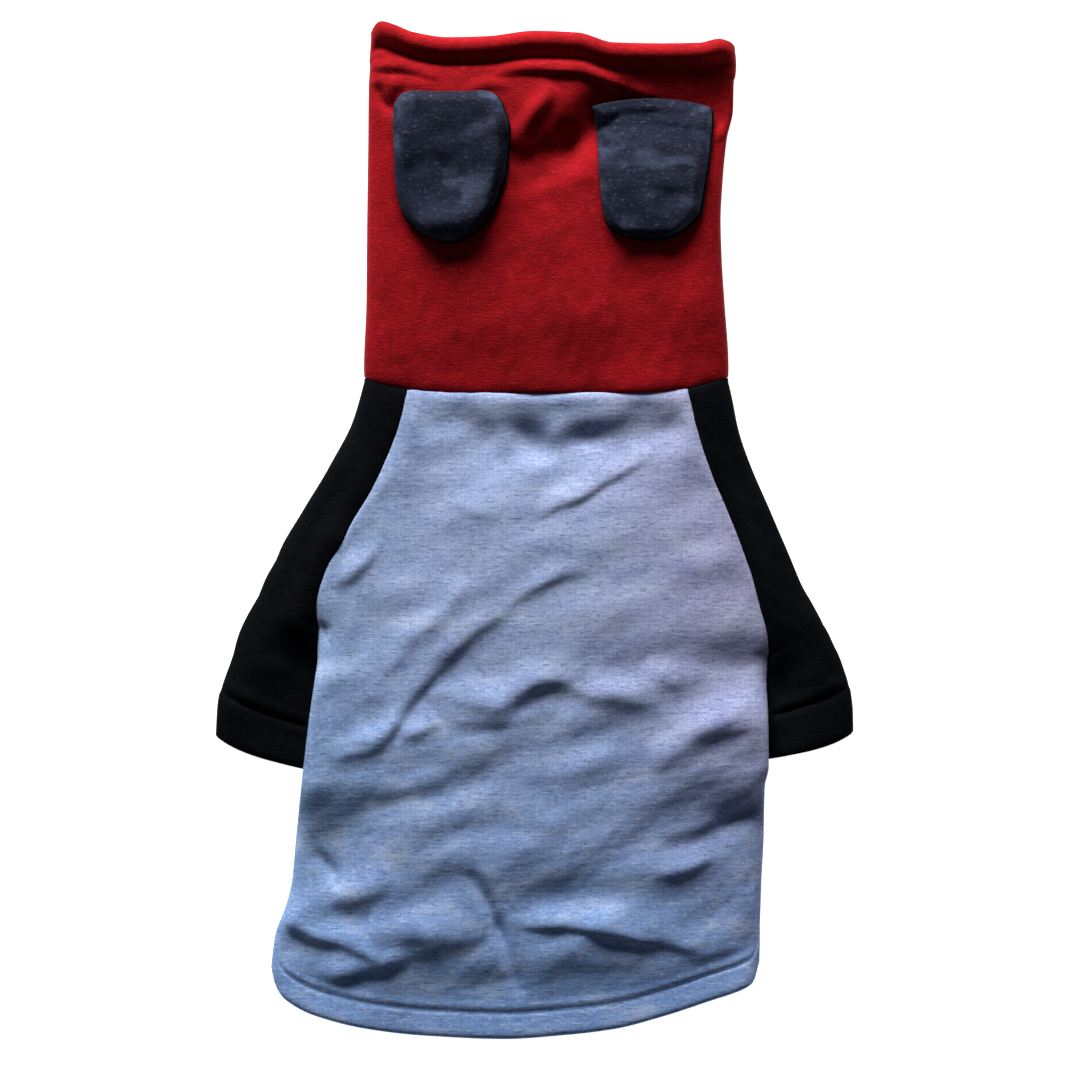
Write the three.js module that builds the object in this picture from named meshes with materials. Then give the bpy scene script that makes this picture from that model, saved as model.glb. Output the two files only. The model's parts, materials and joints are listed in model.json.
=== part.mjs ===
import * as THREE from 'three';

// A small pet hoodie laid flat with its back upward: a hood that is one tube with two ear flaps,
// a back and a chest panel, and raglan sleeves tucked under the body's edges. Millimetres.
// X runs across, Y from the tail hem up to the hood's face opening, and Z up from the table.
// While it is drawn, x = 0 is the middle of the neck and y = 0 is the neck seam.

const { lerp, clamp, smoothstep } = THREE.MathUtils;

// Cloth and seams
const cloth = 1.8; // thickness of the fleece
const hemSwell = 0.5; // how much thicker a turned hem is, as a share
const seamGap = 0.3; // clearance between the edges of two pieces at a seam
const foldReach = 13; // how far from a side fold the cloth takes to lie flat
const seamReach = 10; // creases fade out this near a seam

// Turned hems
const curlReach = 5; // how far in from its edge a hem curls down
const curlDrop = 1.3;
const grooveReach = 2; // half the width of the groove along the stitches
const grooveDepth = 0.9;
const rollReach = 3; // half the width of the small roll behind the groove
const rollHeight = 1.1;

// Hood
const neckWidth = 181.5; // hood and yoke laid flat, at the neck seam
const neckRise = 8; // the neck seam's ends rise this far above its middle
const hoodLength = 177; // neck seam to the middle of the face opening
const hoodLoft = 16; // height over the table
const neckLoft = 14.5;
const openingLoft = 12.5;
const hoodHem = 17; // depth of the turned hem round the face

// Body
const bodyWidth = 226; // chest laid flat, under the sleeves
const backLength = 322.5; // neck seam to the lowest point of the tail hem
const armholeDepth = 123.5; // neck seam to the armpits
const bodyLoft = 17.5;
const bodyHem = 12.5;
const chestShortfall = 5; // the belly hem ends this far short of the tail hem
const pinchReach = 40; // how far above an armpit the cloth starts to close
const yokeReach = 30; // how far below the neck seam the body reaches its own height

// Sleeves
const sleeveLength = 73; // armpit to cuff, along the seam under the arm
const cuffWidth = 62.5; // cuff laid flat
const cuffHem = 20;
const cuffBow = 4; // how far the middle of the cuff's edge runs past its corners
const sleeveLoft = 11.5;
const tuckLoft = 7.6; // height of the sleeve's edge that the body lies on
const tuckReach = 21; // how far that edge goes in under the body
const tuckSlope = 28; // how far the body takes to come down beside it

// Ear flaps
const earWidth = 57;
const leftEarLength = 75;
const rightEarLength = 66;
const earCloth = 2; // thickness of one layer
const earRim = 1.8; // how far the backing shows past the face
const earPuff = 2.6; // how far the face stands off its backing in the middle
const puffReach = 15; // how far in from its edge the face takes to do so
const earBridge = 4; // half the width of the dents that a flap bridges
const earClearance = 0.5; // flap over the hood

const neckHalf = neckWidth / 2;
const bodyHalf = bodyWidth / 2;

// Where the rows and columns of a panel lie near its edges, closest together round a fold.
const nearEdge = [0.092, 0.31, 0.69, 1.23, 2.08, 3.23].map((share) => share * foldReach);

// Side edges of the hood: height up the hood as a share of its length, edges as shares of half the neck.
const hoodEdges = [
  { at: 0, left: -0.995, right: 1 },
  { at: 0.07, left: -1.006, right: 1.008 },
  { at: 0.26, left: -0.992, right: 0.985 },
  { at: 0.38, left: -0.99, right: 0.97 },
  { at: 0.49, left: -0.988, right: 0.964 },
  { at: 0.6, left: -0.985, right: 0.975 },
  { at: 0.72, left: -0.982, right: 0.998 },
  { at: 0.8, left: -0.981, right: 1.032 },
  { at: 0.87, left: -0.979, right: 1.036 },
  { at: 0.93, left: -0.972, right: 1.046 },
  { at: 1, left: -0.963, right: 1.034 },
];

// Edge of the face opening, across the hood: the upper and the under layer, as shares of the hood's length.
const openingEdge = [
  { at: 0, top: 1.028, under: 1.028 },
  { at: 0.02, top: 1.047, under: 1.047 },
  { at: 0.06, top: 1.035, under: 1.033 },
  { at: 0.11, top: 1.015, under: 1.013 },
  { at: 0.21, top: 1, under: 0.998 },
  { at: 0.32, top: 1.003, under: 1.001 },
  { at: 0.45, top: 1.018, under: 1.016 },
  { at: 0.57, top: 1.013, under: 1.013 },
  { at: 0.67, top: 0.985, under: 0.994 },
  { at: 0.8, top: 0.982, under: 0.992 },
  { at: 0.91, top: 0.984, under: 0.991 },
  { at: 0.965, top: 0.996, under: 0.996 },
  { at: 1, top: 0.988, under: 0.988 },
];

// Side edges of the back, by the distance down it as a share of its length, as shares of half the body:
// the raglan seams down to the armpits, then the side folds.
const bodyEdges = [
  { at: 0, left: -0.615, right: 0.628 },
  { at: 0.07, left: -0.668, right: 0.678 },
  { at: 0.14, left: -0.757, right: 0.749 },
  { at: 0.21, left: -0.87, right: 0.832 },
  { at: 0.28, left: -0.978, right: 0.906 },
  { at: 0.33, left: -1.015, right: 0.945 },
  { at: 0.37, left: -1.014, right: 0.975 },
  { at: 0.41, left: -1.014, right: 0.99 },
  { at: 0.45, left: -1.028, right: 0.98 },
  { at: 0.5, left: -1.049, right: 0.986 },
  { at: 0.58, left: -1.076, right: 0.988 },
  { at: 0.61, left: -1.086, right: 0.972 },
  { at: 0.68, left: -1.109, right: 0.969 },
  { at: 0.76, left: -1.131, right: 0.958 },
  { at: 0.8, left: -1.16, right: 0.954 },
  { at: 0.84, left: -1.202, right: 0.95 },
  { at: 0.9, left: -1.222, right: 0.945 },
];

// The tail hem, across the back from its left corner, as shares of the back's length.
const hemEdge = [
  { at: 0, down: 0.893 },
  { at: 0.01, down: 0.922 },
  { at: 0.03, down: 0.941 },
  { at: 0.09, down: 0.965 },
  { at: 0.2, down: 0.985 },
  { at: 0.32, down: 0.995 },
  { at: 0.48, down: 1 },
  { at: 0.6, down: 0.994 },
  { at: 0.7, down: 0.985 },
  { at: 0.8, down: 0.966 },
  { at: 0.9, down: 0.942 },
  { at: 0.97, down: 0.924 },
  { at: 0.99, down: 0.914 },
  { at: 1, down: 0.885 },
];

// Heights along the back, as shares of its loft: the crown, and the side edges over what they lie on.
const bodyHeights = [
  { at: 0, crown: 0.85, side: 0.85 },
  { at: 0.12, crown: 0.94, side: 0.84 },
  { at: 0.28, crown: 1, side: 0.82 },
  { at: 0.37, crown: 1, side: 0.78 },
  { at: 0.43, crown: 1, side: 0.6 },
  { at: 0.5, crown: 1, side: 0.47 },
  { at: 0.6, crown: 1, side: 0.47 },
  { at: 0.72, crown: 0.98, side: 0.55 },
  { at: 0.86, crown: 0.88, side: 0.54 },
  { at: 0.94, crown: 0.76, side: 0.5 },
  { at: 1, crown: 0.68, side: 0.48 },
];

// The sleeves' upper parts, down the raglan seams from 0 at the neck to 1 at the armpit: how far the outer
// fold lies out from the seam and up, as shares of the cuff's width.
const upperSleeves = {
  left: [
    { at: 0, out: 0.336, up: 0.112 },
    { at: 0.2, out: 0.34, up: 0.112 },
    { at: 0.4, out: 0.36, up: 0.124 },
    { at: 0.6, out: 0.364, up: 0.14 },
    { at: 0.8, out: 0.36, up: 0.165 },
    { at: 1, out: 0.45, up: 0.22 },
  ],
  right: [
    { at: 0, out: 0.32, up: 0.112 },
    { at: 0.2, out: 0.285, up: 0.112 },
    { at: 0.4, out: 0.28, up: 0.124 },
    { at: 0.6, out: 0.285, up: 0.14 },
    { at: 0.8, out: 0.32, up: 0.165 },
    { at: 1, out: 0.416, up: 0.22 },
  ],
};

// Their lower parts, from 0 at the armpit to 1 at the cuff: how far the inner fold lies in under the body's
// edge, and down, as shares of the sleeve's length, and the outer fold's place from the inner fold.
const lowerSleeves = {
  left: [
    { at: 0, inward: 0, down: 0, out: 0.45, up: 0.22 },
    { at: 0.25, inward: 0, down: 0.24, out: 0.568, up: 0.285 },
    { at: 0.5, inward: 0.06, down: 0.493, out: 0.688, up: 0.3 },
    { at: 0.75, inward: 0.15, down: 0.747, out: 0.85, up: 0.3 },
    { at: 1, inward: 0.265, down: 1, out: 0.976, up: 0.27 },
  ],
  right: [
    { at: 0, inward: 0, down: 0, out: 0.416, up: 0.22 },
    { at: 0.25, inward: 0, down: 0.18, out: 0.524, up: 0.25 },
    { at: 0.5, inward: 0.05, down: 0.36, out: 0.656, up: 0.25 },
    { at: 0.75, inward: 0.14, down: 0.54, out: 0.8, up: 0.24 },
    { at: 1, inward: 0.25, down: 0.71, out: 0.935, up: 0.2 },
  ],
};

// Creases and rolls of the hood's upper layer: from one point to another, x as a share of the neck's width
// and y of the hood's length, with the bow of the line between, half its width, and its height.
const hoodFolds = [
  { x: 0.005, y: 0.85, toX: -0.075, toY: 0.715, bow: 0, wide: 0.026, high: 0.14 }, // ridge between the ears
  { x: 0.105, y: 0.873, toX: -0.075, toY: 0.68, bow: 0.05, wide: 0.033, high: -0.2 }, // valley beside it
  { x: 0.07, y: 0.727, toX: -0.06, toY: 0.61, bow: 0, wide: 0.036, high: 0.12 }, // lower ridge
  { x: -0.479, y: 0.867, toX: -0.425, toY: 0.8, bow: 0, wide: 0.022, high: -0.12 }, // corner crease
  { x: 0.518, y: 0.749, toX: 0.475, toY: 0.71, bow: 0, wide: 0.022, high: -0.1 }, // right edge crease
  { x: -0.457, y: 0.246, toX: 0.466, toY: 0.257, bow: 0.02, wide: 0.083, high: -0.08 }, // hollow low down
  { x: -0.463, y: 0.09, toX: 0.466, toY: 0.095, bow: 0.02, wide: 0.061, high: 0.09 }, // roll at the neck
];

// Creases and rolls of the back, x as a share of the body's width and y down the back's length.
const bodyFolds = [
  { x: 0.208, y: 0.01, toX: 0.031, toY: 0.096, bow: 0, wide: 0.044, high: -0.09 }, // dent at the neck
  { x: 0.212, y: 0.095, toX: -0.02, toY: 0.197, bow: -0.05, wide: 0.027, high: -0.18 }, // upper crease
  { x: 0.23, y: 0.129, toX: 0.031, toY: 0.222, bow: 0, wide: 0.035, high: 0.09 }, // roll below it
  { x: -0.091, y: 0.341, toX: 0.031, toY: 0.285, bow: 0, wide: 0.027, high: -0.13 }, // middle crease
  { x: -0.119, y: 0.364, toX: -0.279, toY: 0.467, bow: 0.05, wide: 0.027, high: -0.2 }, // long crease
  { x: -0.27, y: 0.457, toX: -0.372, toY: 0.55, bow: 0.05, wide: 0.027, high: -0.2 }, // goes on down
  { x: -0.358, y: 0.544, toX: -0.476, toY: 0.581, bow: 0.1, wide: 0.027, high: -0.15 }, // to the side
  { x: -0.159, y: 0.346, toX: -0.332, toY: 0.467, bow: 0, wide: 0.035, high: 0.14 }, // roll beside it
  { x: -0.261, y: 0.484, toX: -0.002, toY: 0.462, bow: 0, wide: 0.031, high: -0.18 }, // waist crease
  { x: -0.002, y: 0.462, toX: 0.27, toY: 0.496, bow: -0.04, wide: 0.031, high: -0.18 }, // its right half
  { x: -0.111, y: 0.436, toX: 0.128, toY: 0.423, bow: 0.04, wide: 0.04, high: 0.15 }, // roll above it
  { x: 0.447, y: 0.42, toX: 0.235, toY: 0.541, bow: 0.05, wide: 0.035, high: 0.18 }, // slanting roll
  { x: 0.482, y: 0.631, toX: 0.257, toY: 0.698, bow: 0.06, wide: 0.031, high: -0.15 }, // right crease
  { x: -0.588, y: 0.826, toX: -0.42, toY: 0.864, bow: 0, wide: 0.022, high: -0.13 }, // left hem crease
  { x: -0.487, y: 0.909, toX: -0.235, toY: 0.871, bow: -0.05, wide: 0.027, high: -0.13 }, // tail crease, left
  { x: -0.177, y: 0.74, toX: -0.071, toY: 0.882, bow: 0, wide: 0.04, high: 0.18 }, // tail roll
  { x: -0.115, y: 0.736, toX: -0.031, toY: 0.857, bow: 0, wide: 0.027, high: -0.12 }, // crease beside it
  { x: -0.058, y: 0.823, toX: 0.35, toY: 0.862, bow: -0.03, wide: 0.027, high: -0.15 }, // tail crease, right
  { x: 0.252, y: 0.75, toX: 0.372, toY: 0.729, bow: 0, wide: 0.027, high: -0.09 }, // short one above it
  { x: -0.482, y: 0.31, toX: -0.385, toY: 0.262, bow: 0, wide: 0.022, high: -0.09 }, // at the left armpit
  { x: -0.212, y: 0.352, toX: -0.31, toY: 0.397, bow: 0, wide: 0.027, high: -0.09 }, // short left crease
  { x: -0.376, y: 0.634, toX: -0.208, toY: 0.597, bow: 0, wide: 0.031, high: -0.09 }, // left waist crease
];

// Outlines of the ear flaps from the top edge to the tip, as shares of their width.
const leftEar = [
  { at: 0, left: -0.455, right: 0.4 },
  { at: 0.04, left: -0.488, right: 0.428 },
  { at: 0.1, left: -0.5, right: 0.452 },
  { at: 0.18, left: -0.505, right: 0.486 },
  { at: 0.26, left: -0.502, right: 0.495 },
  { at: 0.4, left: -0.496, right: 0.486 },
  { at: 0.56, left: -0.488, right: 0.46 },
  { at: 0.66, left: -0.475, right: 0.418 },
  { at: 0.76, left: -0.446, right: 0.372 },
  { at: 0.85, left: -0.388, right: 0.308 },
  { at: 0.92, left: -0.302, right: 0.226 },
  { at: 0.97, left: -0.18, right: 0.118 },
  { at: 1, left: -0.05, right: 0.03 },
];
const rightEar = [
  { at: 0, left: -0.53, right: 0.498 },
  { at: 0.04, left: -0.514, right: 0.508 },
  { at: 0.1, left: -0.5, right: 0.508 },
  { at: 0.25, left: -0.484, right: 0.495 },
  { at: 0.4, left: -0.475, right: 0.473 },
  { at: 0.55, left: -0.466, right: 0.446 },
  { at: 0.7, left: -0.448, right: 0.42 },
  { at: 0.79, left: -0.434, right: 0.4 },
  { at: 0.86, left: -0.412, right: 0.34 },
  { at: 0.92, left: -0.362, right: 0.262 },
  { at: 0.965, left: -0.266, right: 0.172 },
  { at: 1, left: -0.11, right: 0.045 },
];

// The value of a table's column at a place between its rows, on a curve that never overshoots them.
function read(table, column, at) {
  const last = table.length - 1;
  if (at <= table[0].at) return table[0][column];
  if (at >= table[last].at) return table[last][column];
  const slope = (k) => (table[k + 1][column] - table[k][column]) / (table[k + 1].at - table[k].at);
  const tangent = (k) => {
    if (k === 0) return slope(0);
    if (k === last) return slope(last - 1);
    const before = slope(k - 1);
    const after = slope(k);
    return before * after > 0 ? (2 * before * after) / (before + after) : 0;
  };
  let row = 0;
  while (at > table[row + 1].at) row += 1;
  const span = table[row + 1].at - table[row].at;
  const s = (at - table[row].at) / span;
  const rest = 1 - s;
  return (
    table[row][column] * (1 + 2 * s) * rest * rest +
    tangent(row) * span * s * rest * rest +
    table[row + 1][column] * s * s * (3 - 2 * s) -
    tangent(row + 1) * span * s * s * rest
  );
}

// How far cloth has risen at a distance from a fold: 0 on the fold's line and 1 past its reach.
const roundOff = (distance, reach) => (1 - (1 - clamp(distance / reach, 0, 1)) ** 2.2) ** (1 / 2.2);

// The height that the creases and rolls of a table add at a point of a panel.
function foldHeight(folds, x, y, width, length, loft) {
  let height = 0;
  for (const fold of folds) {
    const fromX = fold.x * width;
    const fromY = fold.y * length;
    const runX = fold.toX * width - fromX;
    const runY = fold.toY * length - fromY;
    const run = Math.hypot(runX, runY);
    const along = ((x - fromX) * runX + (y - fromY) * runY) / run;
    const q = clamp(along / run, 0, 1);
    const aside = ((y - fromY) * runX - (x - fromX) * runY) / run - fold.bow * run * 4 * q * (1 - q);
    const past = along - q * run;
    const reach = fold.wide * width;
    const fade = 0.55 + 0.45 * Math.sin(Math.PI * q);
    height += fold.high * loft * fade * Math.exp(-(aside * aside + past * past) / (reach * reach));
  }
  return height;
}

// The turned hem: a doubled edge that curls down, a stitched groove, and a small roll behind the groove.
const hemThickness = (fromEdge, depth) =>
  cloth * (1 + hemSwell * (1 - smoothstep(fromEdge, depth - cloth / 2, depth + cloth / 2)));
function hemHeight(fromEdge, depth) {
  const curl = -curlDrop * (1 - roundOff(fromEdge, curlReach));
  const groove = -grooveDepth * Math.exp(-(((fromEdge - depth) / grooveReach) ** 2));
  const pastGroove = fromEdge - depth - grooveReach - rollReach;
  const roll = rollHeight * Math.exp(-((pastGroove / rollReach) ** 2));
  return curl + groove + roll;
}

// Places from one end of a span to the other: close together near the two ends and even between.
function places(span, near, even) {
  const ends = near.map((distance) => distance / span);
  const first = ends[ends.length - 1];
  const middle = Array.from({ length: even - 1 }, (_, i) => lerp(first, 1 - first, (i + 1) / even));
  return [0, ...ends, ...middle, ...ends.toReversed().map((share) => 1 - share), 1];
}

// Even steps through a list of fixed stops, each stop with the number of steps that lead up to it.
function stops(list) {
  const all = [0];
  for (const { to, steps } of list) {
    const from = all[all.length - 1];
    for (let i = 1; i <= steps; i += 1) all.push(lerp(from, to, i / steps));
  }
  return all;
}

// A panel of cloth as one closed body. grid[row][column] holds the middle of the cloth as a point, its
// thickness, and on an edge that meets another piece the direction across that seam, to which the cloth's
// edge is cut square. A looped panel joins its last column to its first.
function clothPanel(grid, looped = false) {
  const rows = grid.length;
  const columns = grid[0].length;
  const within = (column) => (looped ? (column + columns) % columns : clamp(column, 0, columns - 1));
  const at = (row, column) => grid[row][within(column)];
  const facing = (row, column) => {
    const along = at(Math.min(row + 1, rows - 1), column).point.clone();
    along.sub(at(Math.max(row - 1, 0), column).point);
    const across = at(row, column + 1).point.clone().sub(at(row, column - 1).point);
    const normal = along.cross(across).normalize();
    const { seam } = grid[row][column];
    if (seam) normal.addScaledVector(seam, -normal.dot(seam)).normalize();
    return normal;
  };
  const positions = [];
  for (const side of [0.5, -0.5]) {
    for (let row = 0; row < rows; row += 1) {
      for (let column = 0; column < columns; column += 1) {
        const { point, thickness } = grid[row][column];
        positions.push(...point.clone().addScaledVector(facing(row, column), side * thickness));
      }
    }
  }
  const layer = rows * columns;
  const id = (row, column) => row * columns + (column % columns);
  const faces = [];
  const wall = (a, b) => faces.push(b, a, a + layer, b, a + layer, b + layer);
  const across = looped ? columns : columns - 1;
  for (let row = 0; row < rows - 1; row += 1) {
    for (let column = 0; column < across; column += 1) {
      const a = id(row, column);
      const b = id(row + 1, column);
      const c = id(row + 1, column + 1);
      const d = id(row, column + 1);
      faces.push(a, b, c, a, c, d);
      faces.push(a + layer, c + layer, b + layer, a + layer, d + layer, c + layer);
    }
  }
  for (let column = 0; column < across; column += 1) {
    wall(id(0, column + 1), id(0, column));
    wall(id(rows - 1, column), id(rows - 1, column + 1));
  }
  for (let row = 0; row < rows - 1 && !looped; row += 1) {
    wall(id(row, 0), id(row + 1, 0));
    wall(id(row + 1, columns - 1), id(row, columns - 1));
  }
  const geometry = new THREE.BufferGeometry();
  geometry.setAttribute('position', new THREE.Float32BufferAttribute(positions, 3));
  geometry.setIndex(faces);
  geometry.computeVertexNormals();
  return geometry;
}

const alongY = new THREE.Vector3(0, 1, 0);
const alongZ = new THREE.Vector3(0, 0, 1);
const between = (top, under, rise) => (top + under) / 2 + ((top - under) / 2) * rise;

// The neck seam, which the hood and the yoke share.
const neckLine = (x) => neckRise * Math.abs(x / neckHalf) ** 5;

// The hood's edges, and the middle of its upper and under cloth, over any point of the plan.
const hoodLeft = (y) => read(hoodEdges, 'left', y / hoodLength) * neckHalf + cloth / 2;
const hoodRight = (y) => read(hoodEdges, 'right', y / hoodLength) * neckHalf - cloth / 2;
const hoodShare = (x, y) => clamp((x - hoodLeft(y)) / (hoodRight(y) - hoodLeft(y)), 0, 1);
const fromOpening = (x, y, layer) => read(openingEdge, layer, hoodShare(x, y)) * hoodLength - y;
function hoodHeight(x, y, layer) {
  const thickness = hemThickness(fromOpening(x, y, layer), hoodHem);
  const rise = roundOff(Math.min(x - hoodLeft(y), hoodRight(y) - x), foldReach);
  const middle = lerp(neckLoft, hoodLoft, smoothstep(y, 0, hoodLength * 0.25));
  const loft = lerp(middle, openingLoft, smoothstep(y, hoodLength * 0.8, hoodLength * 1.02));
  const top = loft - cloth / 2;
  if (layer === 'under') return between(top, thickness / 2, -rise);
  const clear = rise * smoothstep(y, neckLine(x), neckLine(x) + seamReach);
  const folds = foldHeight(hoodFolds, x, y, neckWidth, hoodLength, hoodLoft);
  return between(top, thickness / 2, rise) + clear * (folds + hemHeight(fromOpening(x, y, layer), hoodHem));
}

// The hood is a loop: its upper layer from left to right, then its under layer back to the left.
function hoodGeometry() {
  const rows = stops([
    { to: 0.01, steps: 1 },
    { to: 0.09, steps: 3 },
    { to: 0.16, steps: 3 },
    { to: 0.9, steps: 8 },
    { to: 1, steps: 2 },
  ]);
  const upper = places(neckWidth, nearEdge.slice(0, 4), 14).map((share) => ({ share, layer: 'top' }));
  const under = places(neckWidth, nearEdge, 3).map((share) => ({ share: 1 - share, layer: 'under' }));
  const loop = [...upper, ...under.slice(1, -1)];
  const grid = rows.map((row, index) =>
    loop.map(({ share, layer }) => {
      const open = read(openingEdge, layer, share) * hoodLength;
      const neckX = lerp(hoodLeft(neckRise), hoodRight(neckRise), share);
      const y = lerp(open, neckLine(neckX) + seamGap / 2, row);
      const x = lerp(hoodLeft(y), hoodRight(y), share);
      return {
        point: new THREE.Vector3(x, y, hoodHeight(x, y, layer)),
        thickness: hemThickness(fromOpening(x, y, layer), hoodHem),
        seam: index === rows.length - 1 ? alongY : null,
      };
    }),
  );
  return clothPanel(grid, true);
}

// The two sides of the body. Above its armpit an edge is the raglan seam, and below it is the side fold.
const sides = {
  left: { outward: -1, armpit: -0.94 * armholeDepth, neckCorner: hoodLeft(neckRise) },
  right: { outward: 1, armpit: -1.06 * armholeDepth, neckCorner: hoodRight(neckRise) },
};
const bodyEdge = (side, y) => read(bodyEdges, side, -y / backLength) * bodyHalf;
const pinch = (side, y) => 1 - (y > sides[side].armpit ? roundOff(y - sides[side].armpit, pinchReach) : 0);
const inset = (side, y) => seamGap / 2 + (pinch(side, y) * cloth) / 2;
const panelEdge = (side, y) => bodyEdge(side, y) - sides[side].outward * inset(side, y);
const fromSide = (side, x, y) => Math.max(0, (panelEdge(side, y) - x) * sides[side].outward);

// How much of a sleeve's height the body's edge has to climb over, from 0 to 1.
function overSleeve(side, y) {
  const below = sides[side].armpit - y;
  const cuff = read(lowerSleeves[side], 'down', 1) * sleeveLength;
  const pastCuff = below - cuff;
  const climb = smoothstep(below, 0.07 * tuckSlope, 1.36 * tuckSlope);
  return climb * (1 - smoothstep(pastCuff, 0.1 * tuckSlope, 1.2 * tuckSlope));
}
const chestRise = (side, x, y) =>
  (tuckLoft + 2 * seamGap) *
  overSleeve(side, y) *
  (1 - smoothstep(fromSide(side, x, y), tuckReach, tuckReach + tuckSlope));

// The middle of the body's cloth over a point of the plan, for its back or its chest.
function bodyUnder(x, y) {
  return cloth / 2 + Math.max(chestRise('left', x, y), chestRise('right', x, y));
}
function bodyTop(x, y) {
  const down = -y / backLength;
  const crown = read(bodyHeights, 'crown', down) * bodyLoft - cloth / 2;
  const nearer = fromSide('left', x, y) < fromSide('right', x, y) ? 'left' : 'right';
  const edge = bodyUnder(panelEdge(nearer, y), y) + read(bodyHeights, 'side', down) * bodyLoft - cloth;
  const height = lerp(edge, crown, smoothstep(fromSide(nearer, x, y), 0, bodyHalf * 0.6));
  return lerp(neckLoft - cloth / 2, height, smoothstep(-y, 0, yokeReach));
}
function bodyRise(x, y) {
  const left = 1 - pinch('left', y) * (1 - roundOff(fromSide('left', x, y), foldReach));
  const right = 1 - pinch('right', y) * (1 - roundOff(fromSide('right', x, y), foldReach));
  return Math.min(left, right);
}
const fromHem = (share, y, shortfall) => y + read(hemEdge, 'down', share) * backLength - shortfall;
function backHeight(x, y, share) {
  const middle = between(bodyTop(x, y), bodyUnder(x, y), bodyRise(x, y));
  const sideways = Math.min(fromSide('left', x, y), fromSide('right', x, y));
  const clear = smoothstep(sideways, 0, seamReach) * smoothstep(neckLine(x) - y, 0, seamReach);
  const fromEdge = fromHem(share, y, 0);
  const folds = foldHeight(bodyFolds, x, -y, bodyWidth, backLength, bodyLoft);
  const free = smoothstep(fromEdge, 0, 2 * seamReach);
  return middle + clear * (free * folds + hemHeight(fromEdge, bodyHem));
}
function chestHeight(x, y, share) {
  const swell = hemThickness(fromHem(share, y, chestShortfall), bodyHem) - cloth;
  return between(bodyTop(x, y), bodyUnder(x, y), -bodyRise(x, y)) + (swell / 2) * bodyRise(x, y);
}

// The back and the chest share their rows, so that their edges run side by side down the side seams, and
// the sleeves share them down the raglan seams. A row is a share of the way from the neck to the hem.
const hemRow = 0.93;
function bodyTopEdge(share) {
  const x = lerp(panelEdge('left', 0), panelEdge('right', 0), share);
  return neckLine(x) - seamGap / 2;
}
const bodyHemEdge = (share) => -read(hemEdge, 'down', share) * backLength;
const armpitRow = (side, share) =>
  (bodyTopEdge(share) - sides[side].armpit) / (bodyTopEdge(share) - bodyHemEdge(share));
const bodyRows = stops([
  { to: 0.02, steps: 1 },
  { to: armpitRow('left', 0), steps: 10 },
  { to: armpitRow('right', 1), steps: 2 },
  { to: hemRow, steps: 14 },
  { to: 1, steps: 4 },
]);
function bodyGrid(shares, shortfall, height, seamLift) {
  return bodyRows.map((row, index) =>
    shares.map((share) => {
      const short = shortfall * clamp((row - hemRow) / (1 - hemRow), 0, 1);
      const y = lerp(bodyTopEdge(share), bodyHemEdge(share), row) + short;
      const x = lerp(panelEdge('left', y), panelEdge('right', y), share);
      let seam = null;
      if (index === 0) seam = alongY;
      else if (share === 0) seam = seamAcross('left', y);
      else if (share === 1) seam = seamAcross('right', y);
      return {
        point: new THREE.Vector3(x, y, height(x, y, share) + seamLift * (1 - bodyRise(x, y))),
        thickness: hemThickness(fromHem(share, y, shortfall), bodyHem),
        seam,
      };
    }),
  );
}

// The direction across a side of the body: level across the raglan seam, and upright at the side seam.
function seamAcross(side, y) {
  if (y < sides[side].armpit + 0.01) return alongZ;
  const run = bodyEdge(side, y + 1) - bodyEdge(side, y - 1);
  return new THREE.Vector3(2, -run, 0).normalize();
}

function backGeometry() {
  const shares = places(bodyWidth, nearEdge.slice(0, 3), 21);
  return clothPanel(bodyGrid(shares, 0, backHeight, seamGap / 2));
}
function chestGeometry() {
  const onSleeve = [tuckReach + seamGap, tuckReach + tuckSlope];
  const shares = places(bodyWidth, [...nearEdge.slice(0, 2), ...onSleeve], 2);
  const grid = bodyGrid(shares, chestShortfall, chestHeight, -seamGap / 2);
  return clothPanel(grid.map((row) => row.toReversed()));
}

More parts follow.
